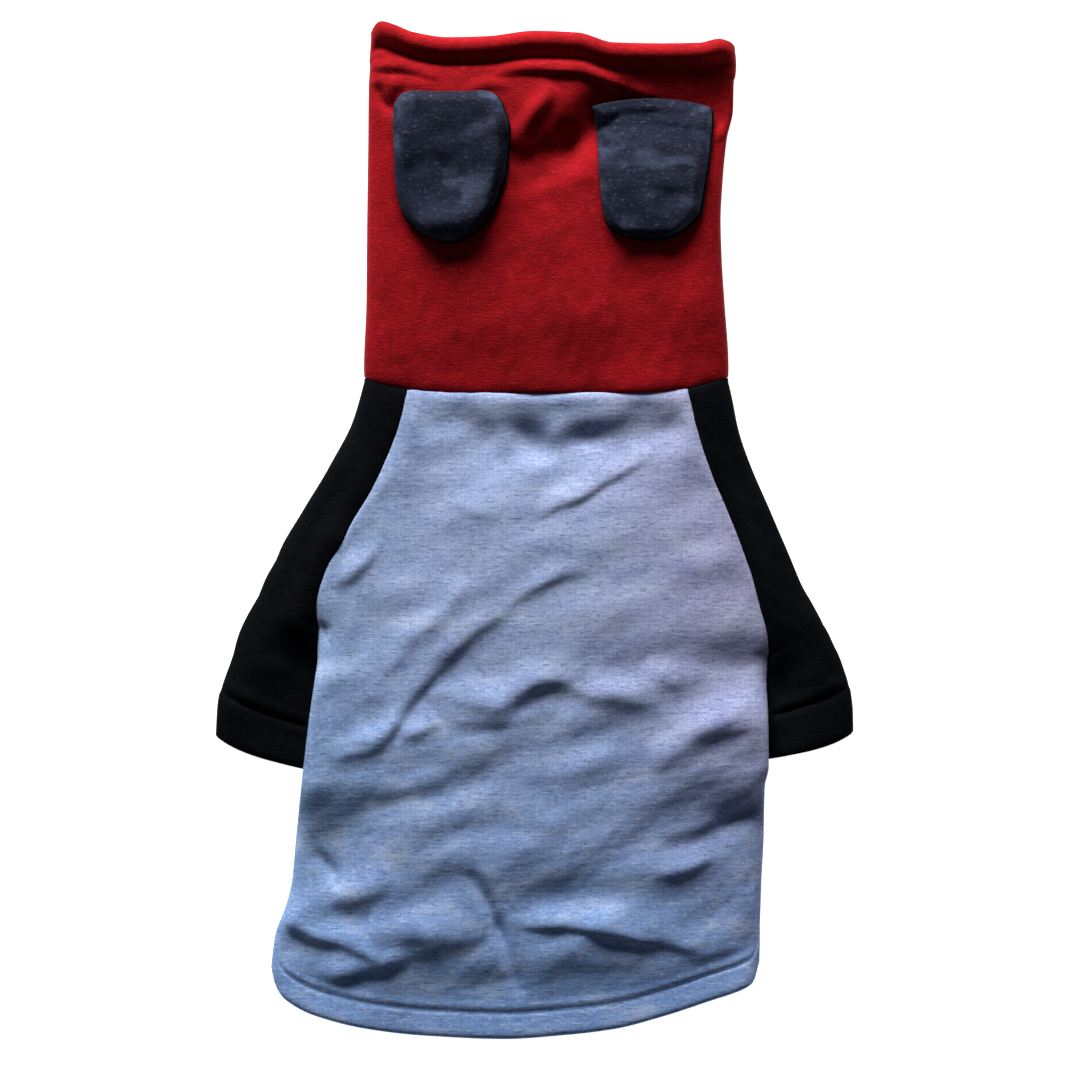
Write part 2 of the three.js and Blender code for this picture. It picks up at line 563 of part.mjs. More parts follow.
// A sleeve is one sheet: from its seam on the underside, out round the outer fold, and back over the top.
function sleeveGeometry(side) {
  const { outward, armpit, neckCorner } = sides[side];
  const share = side === 'left' ? 0 : 1;
  const upperTable = upperSleeves[side];
  const lowerTable = lowerSleeves[side];
  const top = bodyTopEdge(share);
  const upperRows = bodyRows
    .filter((row) => row < armpitRow(side, share) + 1e-9)
    .map((row) => ({ y: lerp(top, bodyHemEdge(share), row), lower: 0 }));
  const lowerRows = stops([{ to: 0.65, steps: 5 }, { to: 1, steps: 4 }]).slice(1);
  const rows = [...upperRows, ...lowerRows.map((lower) => ({ y: armpit, lower }))];
  const underPlaces = places(cuffWidth, nearEdge.slice(0, 2), 2);
  const upperPlaces = places(cuffWidth, nearEdge.slice(0, 3), 3);
  const underside = underPlaces.map((outer) => ({ outer: 1 - outer, over: -1 }));
  const loop = [...underside, ...upperPlaces.slice(1).map((outer) => ({ outer, over: 1 }))];
  const cornerX = bodyEdge(side, top) + outward * inset(side, top);
  const neckFold = [neckCorner - cornerX, neckLine(neckCorner) - seamGap / 2 - top];

  const grid = rows.map(({ y, lower }, index) => {
    const upper = (y - top) / (armpit - top);
    const atNeck = 1 - smoothstep(upper, 0, 0.3);
    const tuck = smoothstep(lower, 0, 0.35);
    const inner = new THREE.Vector2(0, y - read(lowerTable, 'down', lower) * sleeveLength);
    const inward = read(lowerTable, 'inward', lower) * sleeveLength;
    inner.x = bodyEdge(side, inner.y) + outward * (inset(side, y) - inward);
    const table = lower > 0 ? lowerTable : upperTable;
    const place = lower > 0 ? lower : upper;
    const toOuter = new THREE.Vector2(outward * read(table, 'out', place), read(table, 'up', place));
    toOuter.multiplyScalar(cuffWidth).lerp(new THREE.Vector2(...neckFold), atNeck);
    const width = toOuter.length();
    const outerTop = lerp(neckLoft, sleeveLoft, smoothstep(upper, 0, 0.7)) - cloth / 2;
    const innerTop = lerp(bodyTop(bodyEdge(side, y), y), tuckLoft - cloth / 2, tuck);
    const fromCuff = lower > 0 ? (1 - lower) * read(lowerTable, 'down', 1) * sleeveLength : sleeveLength;
    return loop.map(({ outer, over }, column) => {
      const edge = inner.clone().addScaledVector(toOuter, 1 - outer);
      const chord = lerp(neckLine(inner.x + toOuter.x), neckLine(inner.x), outer);
      edge.y += (neckLine(edge.x) - chord) * atNeck;
      edge.y -= cuffBow * (1 - Math.abs(2 * outer - 1) ** 3) * smoothstep(lower, 0.3, 1);
      const thickness = hemThickness(fromCuff, cuffHem);
      const height = lerp(outerTop, innerTop, smoothstep(outer, 0.3, 0.8));
      const open = 1 - pinch(side, y) * (1 - roundOff((1 - outer) * width, foldReach));
      const rise = roundOff(outer * width, foldReach) * open;
      const onSeam = column === 0 || column === loop.length - 1;
      let z = between(height, thickness / 2, over * rise);
      if (over > 0) z += hemHeight(fromCuff, cuffHem) * rise;
      if (onSeam) z += (over * seamGap * pinch(side, y)) / 2;
      let seam = null;
      if (index === 0) seam = alongY;
      else if (onSeam) seam = seamAcross(side, y);
      return { point: new THREE.Vector3(edge.x, edge.y, z), thickness, seam };
    });
  });
  return clothPanel(side === 'left' ? grid : grid.map((row) => row.toReversed()));
}

// An ear flap lies on the hood and bridges its small dents. Its face stands off its backing.
const hoodTop = (x, y) => hoodHeight(x, y, 'top');
function earGeometry(outline, flapLength, centre, top, arch, isFace) {
  const rim = isFace ? 0 : earRim;
  const length = flapLength + rim;
  const rows = [0, 0.07, 0.24, 0.42, 0.6, 0.75, 0.86, 0.94, 0.98, 1];
  const shares = places(earWidth, [earCloth * 1.5], 5);
  const base = cloth / 2 + earClearance + earCloth / 2 + (isFace ? earCloth + seamGap : 0);
  const grid = rows.map((row) =>
    shares.map((share) => {
      const left = read(outline, 'left', row) * earWidth - rim * 0.3;
      const right = read(outline, 'right', row) * earWidth + rim;
      const x = centre + lerp(left, right, share);
      const bend = 1 - (2 * share - 1) ** 2;
      const y = top - row * length + arch * bend * (1 - row);
      const fromEdge = Math.min(x - centre - left, centre + right - x, top - y, y - top + length);
      const puff = isFace ? earPuff * smoothstep(fromEdge, 0, puffReach) : 0;
      const steps = [-earBridge, 0, earBridge];
      const support = Math.max(...steps.map((step) => Math.max(hoodTop(x + step, y), hoodTop(x, y + step))));
      return { point: new THREE.Vector3(x, y, support + base + puff), thickness: earCloth };
    }),
  );
  return clothPanel(grid);
}

const fleece = (color) => new THREE.MeshStandardMaterial({ color, roughness: 0.95, metalness: 0 });
const red = fleece(0x8b121a);
const paleBlue = fleece(0x8996b8);
const black = fleece(0x0d0e14);
const darkBlue = fleece(0x252a3c);

const hoodie = new THREE.Group();
function add(name, geometry, material) {
  const mesh = new THREE.Mesh(geometry, material);
  mesh.name = name;
  hoodie.add(mesh);
}

// The middle of each flap's top edge on the hood, and how far it bows.
const leftEarAt = [-0.52 * neckHalf, 0.853 * hoodLength, -0.02 * earWidth];
const rightEarAt = [0.59 * neckHalf, 0.808 * hoodLength, 0.066 * earWidth];
add('hood', hoodGeometry(), red);
add('ear_left_back', earGeometry(leftEar, leftEarLength, ...leftEarAt, false), black);
add('ear_left_front', earGeometry(leftEar, leftEarLength, ...leftEarAt, true), darkBlue);
add('ear_right_back', earGeometry(rightEar, rightEarLength, ...rightEarAt, false), black);
add('ear_right_front', earGeometry(rightEar, rightEarLength, ...rightEarAt, true), darkBlue);
add('back_panel', backGeometry(), paleBlue);
add('chest_panel', chestGeometry(), paleBlue);
add('sleeve_left', sleeveGeometry('left'), black);
add('sleeve_right', sleeveGeometry('right'), black);

// The origin is the middle of the bounding box's bottom.
const bounds = new THREE.Box3().setFromObject(hoodie);
const middle = bounds.getCenter(new THREE.Vector3());
hoodie.position.set(-middle.x, -middle.y, -bounds.min.z);
hoodie.updateMatrixWorld(true);

export default hoodie;
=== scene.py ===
# %% [markdown]
# # A small pet hoodie, lying flat with its back upward
#
# The real thing is sewn from four kinds of cloth: a red fleece hood, a pale blue melange body,
# black fleece sleeves, and two dark blue ear flaps with black backings. A scanned or simulated
# garment would be another way to get here. This one is calculated, because every edge of the
# cloth is already known from the measured part, and creases that are written down one by one
# land where the real ones are.

import json
import math

import bpy
import numpy as np
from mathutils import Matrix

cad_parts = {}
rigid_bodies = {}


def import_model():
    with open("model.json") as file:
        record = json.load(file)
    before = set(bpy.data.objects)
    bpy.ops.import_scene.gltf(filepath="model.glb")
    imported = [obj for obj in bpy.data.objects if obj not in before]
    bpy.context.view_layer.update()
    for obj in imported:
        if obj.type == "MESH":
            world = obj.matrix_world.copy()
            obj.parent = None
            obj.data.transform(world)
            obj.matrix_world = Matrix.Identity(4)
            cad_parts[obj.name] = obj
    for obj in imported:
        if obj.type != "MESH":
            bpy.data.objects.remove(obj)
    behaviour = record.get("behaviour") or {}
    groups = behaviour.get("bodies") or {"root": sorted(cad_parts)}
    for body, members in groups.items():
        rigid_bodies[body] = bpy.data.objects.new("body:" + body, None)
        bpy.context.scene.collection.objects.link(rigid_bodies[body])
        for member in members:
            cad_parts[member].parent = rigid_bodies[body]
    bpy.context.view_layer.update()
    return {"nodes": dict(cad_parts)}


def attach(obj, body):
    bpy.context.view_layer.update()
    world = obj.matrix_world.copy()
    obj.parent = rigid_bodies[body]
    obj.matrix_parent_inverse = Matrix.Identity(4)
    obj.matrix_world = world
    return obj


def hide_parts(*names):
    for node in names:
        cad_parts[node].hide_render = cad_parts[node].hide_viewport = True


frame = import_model()
print("pieces of the measured part:", sorted(frame["nodes"]))

# %% [markdown]
# ## Sizes
# Everything is worked out in millimetres on the plan, with x = 0 at the middle of the neck and
# y = 0 at the neck seam, and moved and scaled to metres once, when a mesh is made. The outline
# sizes are those of the measured part, so each cloth follows the solid it stands for. The gap at
# the seams and the thickness of the ears are the cloth's own, and its folds rise about 2 mm
# higher than the solids.

# %% Sizes
plan_origin = np.array([5.829, 68.524, 0.0])  # where the middle of the neck seam is
cloth = 1.8  # thickness of one layer
hem_swell = 0.5  # how much thicker a turned hem is, as a share
seam_gap = 0.06
fold_reach = 13  # how far in from a folded edge the cloth is still curving
neck_width, neck_rise = 181.5, 8
hood_length, hood_loft, neck_loft, opening_loft, hood_hem = 177, 16, 14.5, 12.5, 17
body_width, back_length, armhole_depth, body_loft, body_hem = 226, 322.5, 123.5, 17.5, 12.5
chest_shortfall, pinch_reach = 5, 40
sleeve_length, cuff_width, cuff_hem, cuff_bow = 73, 62.5, 20, 4
sleeve_loft, tuck_loft, tuck_reach = 11.5, 7.6, 21
ear_width, left_ear_length, right_ear_length = 57, 75, 66
ear_cloth, ear_rim, ear_puff, ear_clearance = 1.6, 1.4, 2.0, 0.4
neck_half, body_half = neck_width / 2, body_width / 2
print("neck", neck_width, "mm wide, back", back_length, "mm long")

# %% [markdown]
# ## Outlines
# Cloth cut by hand never lies in straight lines, so each edge is a short table: where along the
# piece, and how far out, as shares of the sizes above. Reading between the rows follows a curve
# that never overshoots them, which keeps a straight hem straight.

# %% Tables of the edges
hood_edges = dict(
    at=[0, 0.07, 0.26, 0.38, 0.49, 0.6, 0.72, 0.8, 0.87, 0.93, 1],
    left=[-0.995, -1.006, -0.992, -0.99, -0.988, -0.985, -0.982, -0.981, -0.979, -0.972, -0.963],
    right=[1, 1.008, 0.985, 0.97, 0.964, 0.975, 0.998, 1.032, 1.036, 1.046, 1.034],
)
opening_edge = dict(
    at=[0, 0.02, 0.06, 0.11, 0.21, 0.32, 0.45, 0.57, 0.67, 0.8, 0.91, 0.965, 1],
    top=[1.028, 1.047, 1.035, 1.015, 1, 1.003, 1.018, 1.013, 0.985, 0.982, 0.984, 0.996, 0.988],
    under=[1.028, 1.047, 1.033, 1.013, 0.998, 1.001, 1.016, 1.013, 0.994, 0.992, 0.991, 0.996,
           0.988],
)
body_edges = dict(
    at=[0, 0.07, 0.14, 0.21, 0.28, 0.33, 0.37, 0.41, 0.45, 0.5, 0.58,
        0.61, 0.68, 0.76, 0.8, 0.84, 0.9],
    left=[-0.615, -0.668, -0.757, -0.87, -0.978, -1.015, -1.014, -1.014, -1.028, -1.049, -1.076,
          -1.086, -1.109, -1.131, -1.16, -1.202, -1.222],
    right=[0.628, 0.678, 0.749, 0.832, 0.906, 0.945, 0.975, 0.99, 0.98, 0.986, 0.988,
           0.972, 0.969, 0.958, 0.954, 0.95, 0.945],
)
hem_edge = dict(
    at=[0, 0.01, 0.03, 0.09, 0.2, 0.32, 0.48, 0.6, 0.7, 0.8, 0.9, 0.97, 0.99, 1],
    down=[0.893, 0.922, 0.941, 0.965, 0.985, 0.995, 1, 0.994, 0.985, 0.966, 0.942, 0.924,
          0.914, 0.885],
)
body_heights = dict(
    at=[0, 0.12, 0.28, 0.37, 0.43, 0.5, 0.6, 0.72, 0.86, 0.94, 1],
    crown=[0.85, 0.94, 1, 1, 1, 1, 1, 0.98, 0.88, 0.76, 0.68],
    side=[0.85, 0.84, 0.82, 0.78, 0.6, 0.47, 0.47, 0.55, 0.54, 0.5, 0.48],
)
upper_sleeves = dict(
    left=dict(at=[0, 0.2, 0.4, 0.6, 0.8, 1], out=[0.336, 0.34, 0.36, 0.364, 0.36, 0.45],
              up=[0.112, 0.112, 0.124, 0.14, 0.165, 0.22]),
    right=dict(at=[0, 0.2, 0.4, 0.6, 0.8, 1], out=[0.32, 0.285, 0.28, 0.285, 0.32, 0.416],
               up=[0.112, 0.112, 0.124, 0.14, 0.165, 0.22]),
)
lower_sleeves = dict(
    left=dict(at=[0, 0.25, 0.5, 0.75, 1],
              inward=[0, 0, 0.06, 0.15, 0.265], down=[0, 0.24, 0.493, 0.747, 1],
              out=[0.45, 0.568, 0.688, 0.85, 0.976], up=[0.22, 0.285, 0.3, 0.3, 0.27]),
    right=dict(at=[0, 0.25, 0.5, 0.75, 1],
               inward=[0, 0, 0.05, 0.14, 0.25], down=[0, 0.18, 0.36, 0.54, 0.71],
               out=[0.416, 0.524, 0.656, 0.8, 0.935], up=[0.22, 0.25, 0.25, 0.24, 0.2]),
)
left_ear = dict(
    at=[0, 0.04, 0.1, 0.18, 0.26, 0.4, 0.56, 0.66, 0.76, 0.85, 0.92, 0.97, 1],
    left=[-0.455, -0.488, -0.5, -0.505, -0.502, -0.496, -0.488, -0.475, -0.446, -0.388, -0.302,
          -0.18, -0.05],
    right=[0.4, 0.428, 0.452, 0.486, 0.495, 0.486, 0.46, 0.418, 0.372, 0.308, 0.226, 0.118, 0.03],
)
right_ear = dict(
    at=[0, 0.04, 0.1, 0.25, 0.4, 0.55, 0.7, 0.79, 0.86, 0.92, 0.965, 1],
    left=[-0.53, -0.514, -0.5, -0.484, -0.475, -0.466, -0.448, -0.434, -0.412, -0.362, -0.266,
          -0.11],
    right=[0.498, 0.508, 0.508, 0.495, 0.473, 0.446, 0.42, 0.4, 0.34, 0.262, 0.172, 0.045],
)

# %% [markdown]
# ## Curves
# Cloth has few corners. These small functions stand in for the ones that a curve editor would
# give: `ramp` eases from one height to another, `round_off` is the side of a fold, `ridge` is a
# soft bump, and `stations` spaces the rows of a grid, close at its ends and even between.


# %% Reading a table, and the curves that cloth follows
def mix(low, high, share):
    return low + (high - low) * share


def ramp(value, low, high):
    share = np.clip((value - low) / (high - low), 0, 1)
    return share * share * (3 - 2 * share)


def read(table, column, at):
    places, values = np.array(table["at"], float), np.array(table[column], float)
    span = np.diff(places)
    slope = np.diff(values) / span
    before, after = slope[:-1], slope[1:]
    level = np.where(before + after == 0, 1, before + after)
    inner = np.where(before * after > 0, 2 * before * after / level, 0)
    tangent = np.concatenate([slope[:1], inner, slope[-1:]])
    at = np.clip(at, places[0], places[-1])
    row = np.clip(np.searchsorted(places, at) - 1, 0, len(span) - 1)
    s = (at - places[row]) / span[row]
    rest = 1 - s
    return (values[row] * (1 + 2 * s) * rest**2 + tangent[row] * span[row] * s * rest**2
            + values[row + 1] * s**2 * (3 - 2 * s) - tangent[row + 1] * span[row] * s**2 * rest)


def round_off(distance, reach, fullness=2.2):
    return (1 - (1 - np.clip(distance / reach, 0, 1)) ** fullness) ** (1 / fullness)


def ridge(distance, place, reach):
    return np.exp(-(((distance - place) / reach) ** 2))


def between(top, under, rise):
    return (top + under) / 2 + (top - under) / 2 * rise


def stations(span, near, even):
    ends = [distance / span for distance in near]
    middle = np.linspace(ends[-1], 1 - ends[-1], even + 1)[1:-1]
    return np.array([0, *ends, *middle, *[1 - share for share in reversed(ends)], 1])


half_way = float(read(body_edges, "left", 0.5)) * body_half
print("half way down the left edge of the body:", round(half_way, 1), "mm")

# %% [markdown]
# ## Creases
# A crease in soft fleece is a step: one side drops quickly, the other swells up to a crest and
# fades away. Each row below is the line of the steep side as the eye follows it, with the crest
# on the left of the direction of travel. A row with a flank of 0 is a plain roll, or a hollow
# where its height is negative. Sculpting by hand would also do, but a table is easy to read and
# change.

# %% Creases, in millimetres on the plan
# Each row holds the width of the steep flank, the width of the crest, the height, and the points
# of the line.
body_creases = [
    # dent under the neck seam
    (0, 14, -2.4, [(-63, -14.5), (-28, -19.5), (7, -23.5), (37, -21.5), (67, -9.5)]),
    # slow rise back from it
    (6, 34, -3.6, [(72, -4.5), (42, -13.5), (12, -17.5), (-23, -15.5), (-63, -6.5)]),
    # upper crease
    (1.6, 9, 2.1, [(-5.5, -63), (14.5, -54.5), (33, -44.5), (53, -31.5)]),
    # faint start of it on the left
    (3, 9, 0.9, [(-55, -54.5), (-38, -60.5), (-23, -65.5)]),
    # above the left armpit
    (2.6, 8, 2.3, [(-106, -99.5), (-97, -93.5), (-87, -83.5), (-81, -73.5)]),
    # broad one left of the middle
    (4, 9, 2, [(-71, -129.5), (-62, -121.5), (-49, -112.5), (-37, -94.5)]),
    # short middle crease
    (1.8, 6, 1.3, [(-22, -109.5), (-12, -103.5), (1, -95.5), (21, -89.5)]),
    # long S from the middle to the left side
    (2.2, 9, 2.3, [(-108, -185.5), (-94, -181), (-82, -175.5), (-74, -167.5), (-67.5, -156),
                   (-60.5, -147.5), (-50, -135.5), (-34, -120.5), (-15, -107.5)]),
    # second line beside it
    (2.2, 7, 1.2, [(-98, -174.5), (-83, -172.5), (-71, -164.5)]),
    # waist crease
    (4, 13, 3.1, [(-60.5, -153.5), (-50.5, -152.5), (-40, -157.5), (-23, -159.5), (-12, -153.5),
                  (-3, -148.5), (8, -147.5), (22, -152.5), (41, -156.5), (63, -161)]),
    # lower step of it
    (3.4, 8, 2.2, [(-53, -161.5), (-38, -166.5), (-17, -165.5), (7, -159.5)]),
    # dark corner beside the long S
    (2.4, 8, 2.2, [(-71, -174.5), (-63, -171.5), (-53, -164.5)]),
    # slanting roll on the right
    (4, 12, 2.6, [(53, -189.5), (72, -178.5), (85, -168.5), (106, -157.5)]),
    # short one under it
    (3, 6, 1.5, [(77, -174.5), (89, -171), (108, -166.5)]),
    # right side crease
    (3, 14, 3.2, [(57, -224.5), (73, -220), (86, -214.5), (99.5, -206.5), (115, -198.5)]),
    # short one below it
    (1.6, 6, 1.3, [(53, -243.5), (68, -240.5), (84, -234.5)]),
    # faint one in the middle
    (3.5, 9, 0.9, [(-20, -217.5), (-6, -216.5), (10, -219.5)]),
    # soft hollow right of the middle
    (5, 10, 1.8, [(47, -138.5), (63, -146.5), (79, -141.5)]),
    # left edge
    (4, 14, 0.9, [(-135, -209.5), (-120, -208.5), (-104, -201.5)]),
    # left of the middle
    (3.5, 9, 1.7, [(-87, -204.5), (-71, -201.5), (-47, -194.5)]),
    # small slanting hollow
    (0, 4, -1.5, [(-118, -229.5), (-110, -236.5), (-101, -248.5)]),
    # above the tail crease
    (5, 13, 2.3, [(-108, -257.5), (-94, -254.5), (-71, -245.5)]),
    # left flap of the tail
    (1.8, 10, 2.8, [(-147, -261.5), (-125, -269), (-110.5, -275), (-84, -284.5)]),
    # tail crease, left
    (5.5, 14, 3.6, [(-90, -269.5), (-71, -273.5), (-53, -275.5), (-31, -276.5)]),
    # above the hem, left
    (3.4, 9, 3.4, [(-115, -297.5), (-100.5, -294.5), (-85.5, -289.5), (-68, -283.5),
                   (-50, -279.5)]),
    # upright crease of the tail
    (0, 3.6, -2.1, [(-13, -303.5), (-17, -286.5), (-23, -269.5), (-30.5, -253.5), (-39, -237.5)]),
    # at the top of it
    (2.8, 7, 0.6, [(-47, -236.5), (-37, -239.5), (-23, -245.5)]),
    # dark foot of it
    (3, 7, 0.7, [(-26, -287.5), (-19, -290.5), (-11, -286.5)]),
    # tail crease, right
    (1.8, 12, 2.4, [(-19, -265.5), (1, -267.5), (20, -269.5), (44, -274.5), (80, -281)]),
    # above the hem, middle
    (4, 7, 0.9, [(7, -285.5), (37, -287.5), (61, -284.5)]),
    # above the hem, right
    (2.4, 6, 1.2, [(71, -284.5), (82, -284), (99, -278.5)]),
    # upright edge of the right shoulder
    (5, 7, 1.1, [(99, -135.5), (96, -116), (91.5, -93.5), (85, -58.5)]),
    # beside the left armpit
    (3, 6, 1.2, [(-94, -131), (-96, -116), (-97, -102.5)]),
    # small one beside the long S
    (2.4, 6, 1, [(-80, -141.5), (-74, -134.5), (-68, -128.5)]),
    # pucker at the left armpit
    (0, 1.7, -2.6, [(-115, -114.5), (-110.5, -117.5), (-109.5, -126.5)]),
    # pucker at the right armpit
    (0, 1.8, -2.6, [(108, -128.5), (112, -131.5), (110.5, -137.5)]),
]
hood_creases = [
    # fold above the stitches, left
    (0.9, 4.2, 2.3, [(-96, 160), (-84, 162), (-75, 161.5), (-66, 159.5), (-53, 155.5)]),
    # fold above the stitches, right
    (0.9, 4.8, 3.5, [(-26, 156.5), (-15, 160), (0, 161), (14.5, 159.5), (27, 156), (42, 151),
                     (59, 147)]),
    # second fold over the left ear
    (0, 2.4, 1.2, [(-92, 154.5), (-80, 156), (-71, 155.5), (-55, 152.5)]),
    # small loop over the left ear
    (0, 2.6, 1.5, [(-41, 151.5), (-31, 154.5), (-19, 152.5)]),
    # hollow between the ears
    (0, 8.5, -7.8, [(46, 142.5), (34, 137), (23, 131.5), (11, 123.5), (-1, 116.5), (-17, 110.5)]),
    # its long upper side
    (0, 8, -3.4, [(47, 151.5), (39, 147), (28, 142.5), (16, 135.5), (4, 126.5)]),
    # slow rise back from it
    (5, 24, -2.6, [(30, 132.5), (15, 125.5), (1, 116.5), (-21, 107.5)]),
    # first ridge between the ears
    (0, 4.4, 3.7, [(5, 154.5), (-4, 144.5), (-11, 134.5), (-19, 123.5)]),
    # second ridge
    (0, 6, 1.8, [(29, 123.5), (12, 123.5), (-0.5, 115.5), (-20.5, 105.5)]),
    # soft drop below it
    (6, 8, 1.6, [(-23, 90.5), (-0.5, 98.5), (25, 108.5)]),
    # left corner, hollow
    (0, 3.6, -3.2, [(-85, 155.5), (-81.5, 147.5), (-76, 138.5)]),
    # left corner, ridge
    (0, 2.8, 2, [(-71, 155.5), (-77, 153.5), (-82, 145.5)]),
    # right edge
    (1.8, 5, 2.2, [(79, 122.5), (86, 126.5), (98, 132.5)]),
    # low roll across the middle
    (16, 26, 1, [(-87, 31.5), (-33, 29.5), (27, 32.5), (85, 35.5)]),
]
ear_creases = [
    # hollow across the left ear
    (0, 13, -1.7, [(-89, 110.5), (-68, 107.5), (-48, 109), (-26, 114.5)]),
    # its rolled right edge
    (0, 4, 2, [(-31, 148.5), (-24, 134), (-25, 114), (-29, 96.5)]),
    # its left edge
    (0, 5, 1.1, [(-71, 148.5), (-72, 126.5), (-71, 104)]),
    # full lower end
    (0, 7, 3, [(-66, 83.5), (-47, 85.5), (-25, 93.5)]),
    # edge of the turned band of the right ear
    (1.2, 8, 0.9, [(25, 133), (52, 134.5), (82, 132)]),
    # faint crease
    (2.4, 7, 0.8, [(29, 113.5), (47, 121.5), (79, 117.5)]),
    # faint crease lower down
    (2.4, 7, 0.9, [(30, 97.5), (52, 102.5), (77, 100.5)]),
]
sleeve_creases = dict(
    left=[
        # broad fold above the cuff
        (5, 10, 1.1, [(-142, -123.5), (-128, -117.5), (-114, -109.5)]),
        # lower one
        (4, 8, 0.9, [(-155, -148.5), (-142, -141.5), (-123, -137.5)]),
        # along the raglan seam
        (0, 6, 0.8, [(-114, -63.5), (-105.5, -73.5), (-100.5, -88.5)]),
    ],
    right=[
        # broad fold above the cuff
        (4, 8, 0.8, [(127, -123.5), (134.5, -116.5), (143, -112.5)]),
        # lower one
        (4, 8, 0.8, [(120, -148.5), (133, -145.5), (145, -147.5)]),
    ],
)

print(len(body_creases), "creases on the body,", len(hood_creases), "on the hood,",
      len(ear_creases), "on the ears")

# %% [markdown]
# ## From rows to heights
# Each line is drawn through its points as a smooth curve, and every point of the cloth looks up
# how far it is from the nearest stretch of it. The line wanders a little and its height varies,
# as no crease is even. The unevenness is a sum of a few waves with seeded directions, so it is
# the same each time.


# %% Turn the rows of creases into heights
def smooth_path(points, steps=7):
    p = np.array(points, float)
    p = np.vstack([2 * p[0] - p[1], p, 2 * p[-1] - p[-2]])
    t = np.linspace(0, 1, steps, endpoint=False)[:, None]
    spans = [
        0.5 * (2 * b + (c - a) * t + (2 * a - 5 * b + 4 * c - d) * t**2
               + (3 * b - a - 3 * c + d) * t**3)
        for a, b, c, d in zip(p[:-3], p[1:-2], p[2:-1], p[3:])
    ]
    return np.vstack([*spans, p[-2:-1]])


def unevenness(x, y, reach, seed, lean=(0, 2 * np.pi), waves=12):
    chance = np.random.default_rng(seed)
    total = np.zeros(np.shape(x))
    for _ in range(waves):
        turn, phase = chance.uniform(*lean), chance.uniform(0, 2 * np.pi)
        pace = 2 * np.pi * chance.uniform(0.6, 1.5) / reach
        total += np.sin((x * np.cos(turn) + y * np.sin(turn)) * pace + phase)
    return total / math.sqrt(waves)


def crease_height(rows, x, y, wander=0.6, change=0.16, fades_out=3.2):
    height = np.zeros(x.shape)
    x, y = x + wander * unevenness(x, y, 34, 51), y + wander * unevenness(x, y, 34, 52)
    broken = 1 + change * unevenness(x, y, 26, 53)
    for flank, crest, lift, points in rows:
        path = smooth_path(points)
        reach = fades_out * max(flank, crest)
        low, high = path.min(0) - reach, path.max(0) + reach
        near = (x > low[0]) & (x < high[0]) & (y > low[1]) & (y < high[1])
        px, py = x[near], y[near]
        runs = np.hypot(*np.diff(path, axis=0).T)
        starts = np.concatenate([[0], np.cumsum(runs)])
        best, aside, along = np.full(px.shape, 1e9), np.zeros(px.shape), np.zeros(px.shape)
        for k, run in enumerate(runs):
            ux, uy = (path[k + 1] - path[k]) / run
            t = np.clip((px - path[k, 0]) * ux + (py - path[k, 1]) * uy, 0, run)
            dx, dy = px - path[k, 0] - t * ux, py - path[k, 1] - t * uy
            gap = np.hypot(dx, dy)
            closer = gap < best
            best = np.where(closer, gap, best)
            aside = np.where(closer, np.sign(ux * dy - uy * dx) * gap, aside)
            along = np.where(closer, starts[k] + t, along)
        fade = np.sin(np.pi * np.clip(along / starts[-1], 0, 1)) ** 0.7
        if flank:
            step = 0.5 + 0.5 * np.tanh(aside / flank)
            shape = step * ridge(np.maximum(aside, 0), 0, crest)
        else:
            shape = ridge(aside, 0, crest)
        height[near] += lift * fade * shape
    return height * broken


# %% [markdown]
# ## From a surface to cloth
# Every panel is first a sheet with no thickness: rows and columns of points along the middle of
# the cloth. Cloth is a solid with two faces, so the sheet is thickened both ways, and thinned to
# a half round at its edges, as a folded or overlocked edge is. A Solidify modifier would leave
# square edges, and along a seam the two panels have to stop on the same line.


# %% Turn a grid of points into a cloth with two faces
def add_object(name, data):
    thing = bpy.data.objects.new(name, data)
    bpy.context.scene.collection.objects.link(thing)
    return thing


def edge_distance(middle, axis):
    step = np.linalg.norm(np.diff(middle, axis=axis), axis=2)
    run = np.cumsum(step, axis=axis)
    run = np.concatenate([np.zeros_like(np.take(run, [0], axis)), run], axis=axis)
    return np.minimum(run, np.take(run, [-1], axis) - run)


def cloth_points(middle, thick, seam, looped, thinnest=0.45):
    distance = edge_distance(middle, 0)
    if not looped:
        distance = np.minimum(distance, edge_distance(middle, 1))
    half_round = np.sqrt(1 - (1 - np.clip(2 * distance / thick, 0, 1)) ** 2)
    thick = thick * np.maximum(thinnest, half_round)
    down = np.concatenate([middle[1:], middle[-1:]]) - np.concatenate([middle[:1], middle[:-1]])
    if looped:
        across = np.roll(middle, -1, axis=1) - np.roll(middle, 1, axis=1)
    else:
        across = np.concatenate([middle[:, 1:], middle[:, -1:]], axis=1)
        across = across - np.concatenate([middle[:, :1], middle[:, :-1]], axis=1)
    normal = np.cross(down, across)
    normal /= np.linalg.norm(normal, axis=2, keepdims=True)
    if seam is not None:
        normal -= seam * (normal * seam).sum(2, keepdims=True)
        normal /= np.linalg.norm(normal, axis=2, keepdims=True)
    half = normal * thick[:, :, None] / 2
    return np.concatenate([(middle + half).reshape(-1, 3), (middle - half).reshape(-1, 3)])


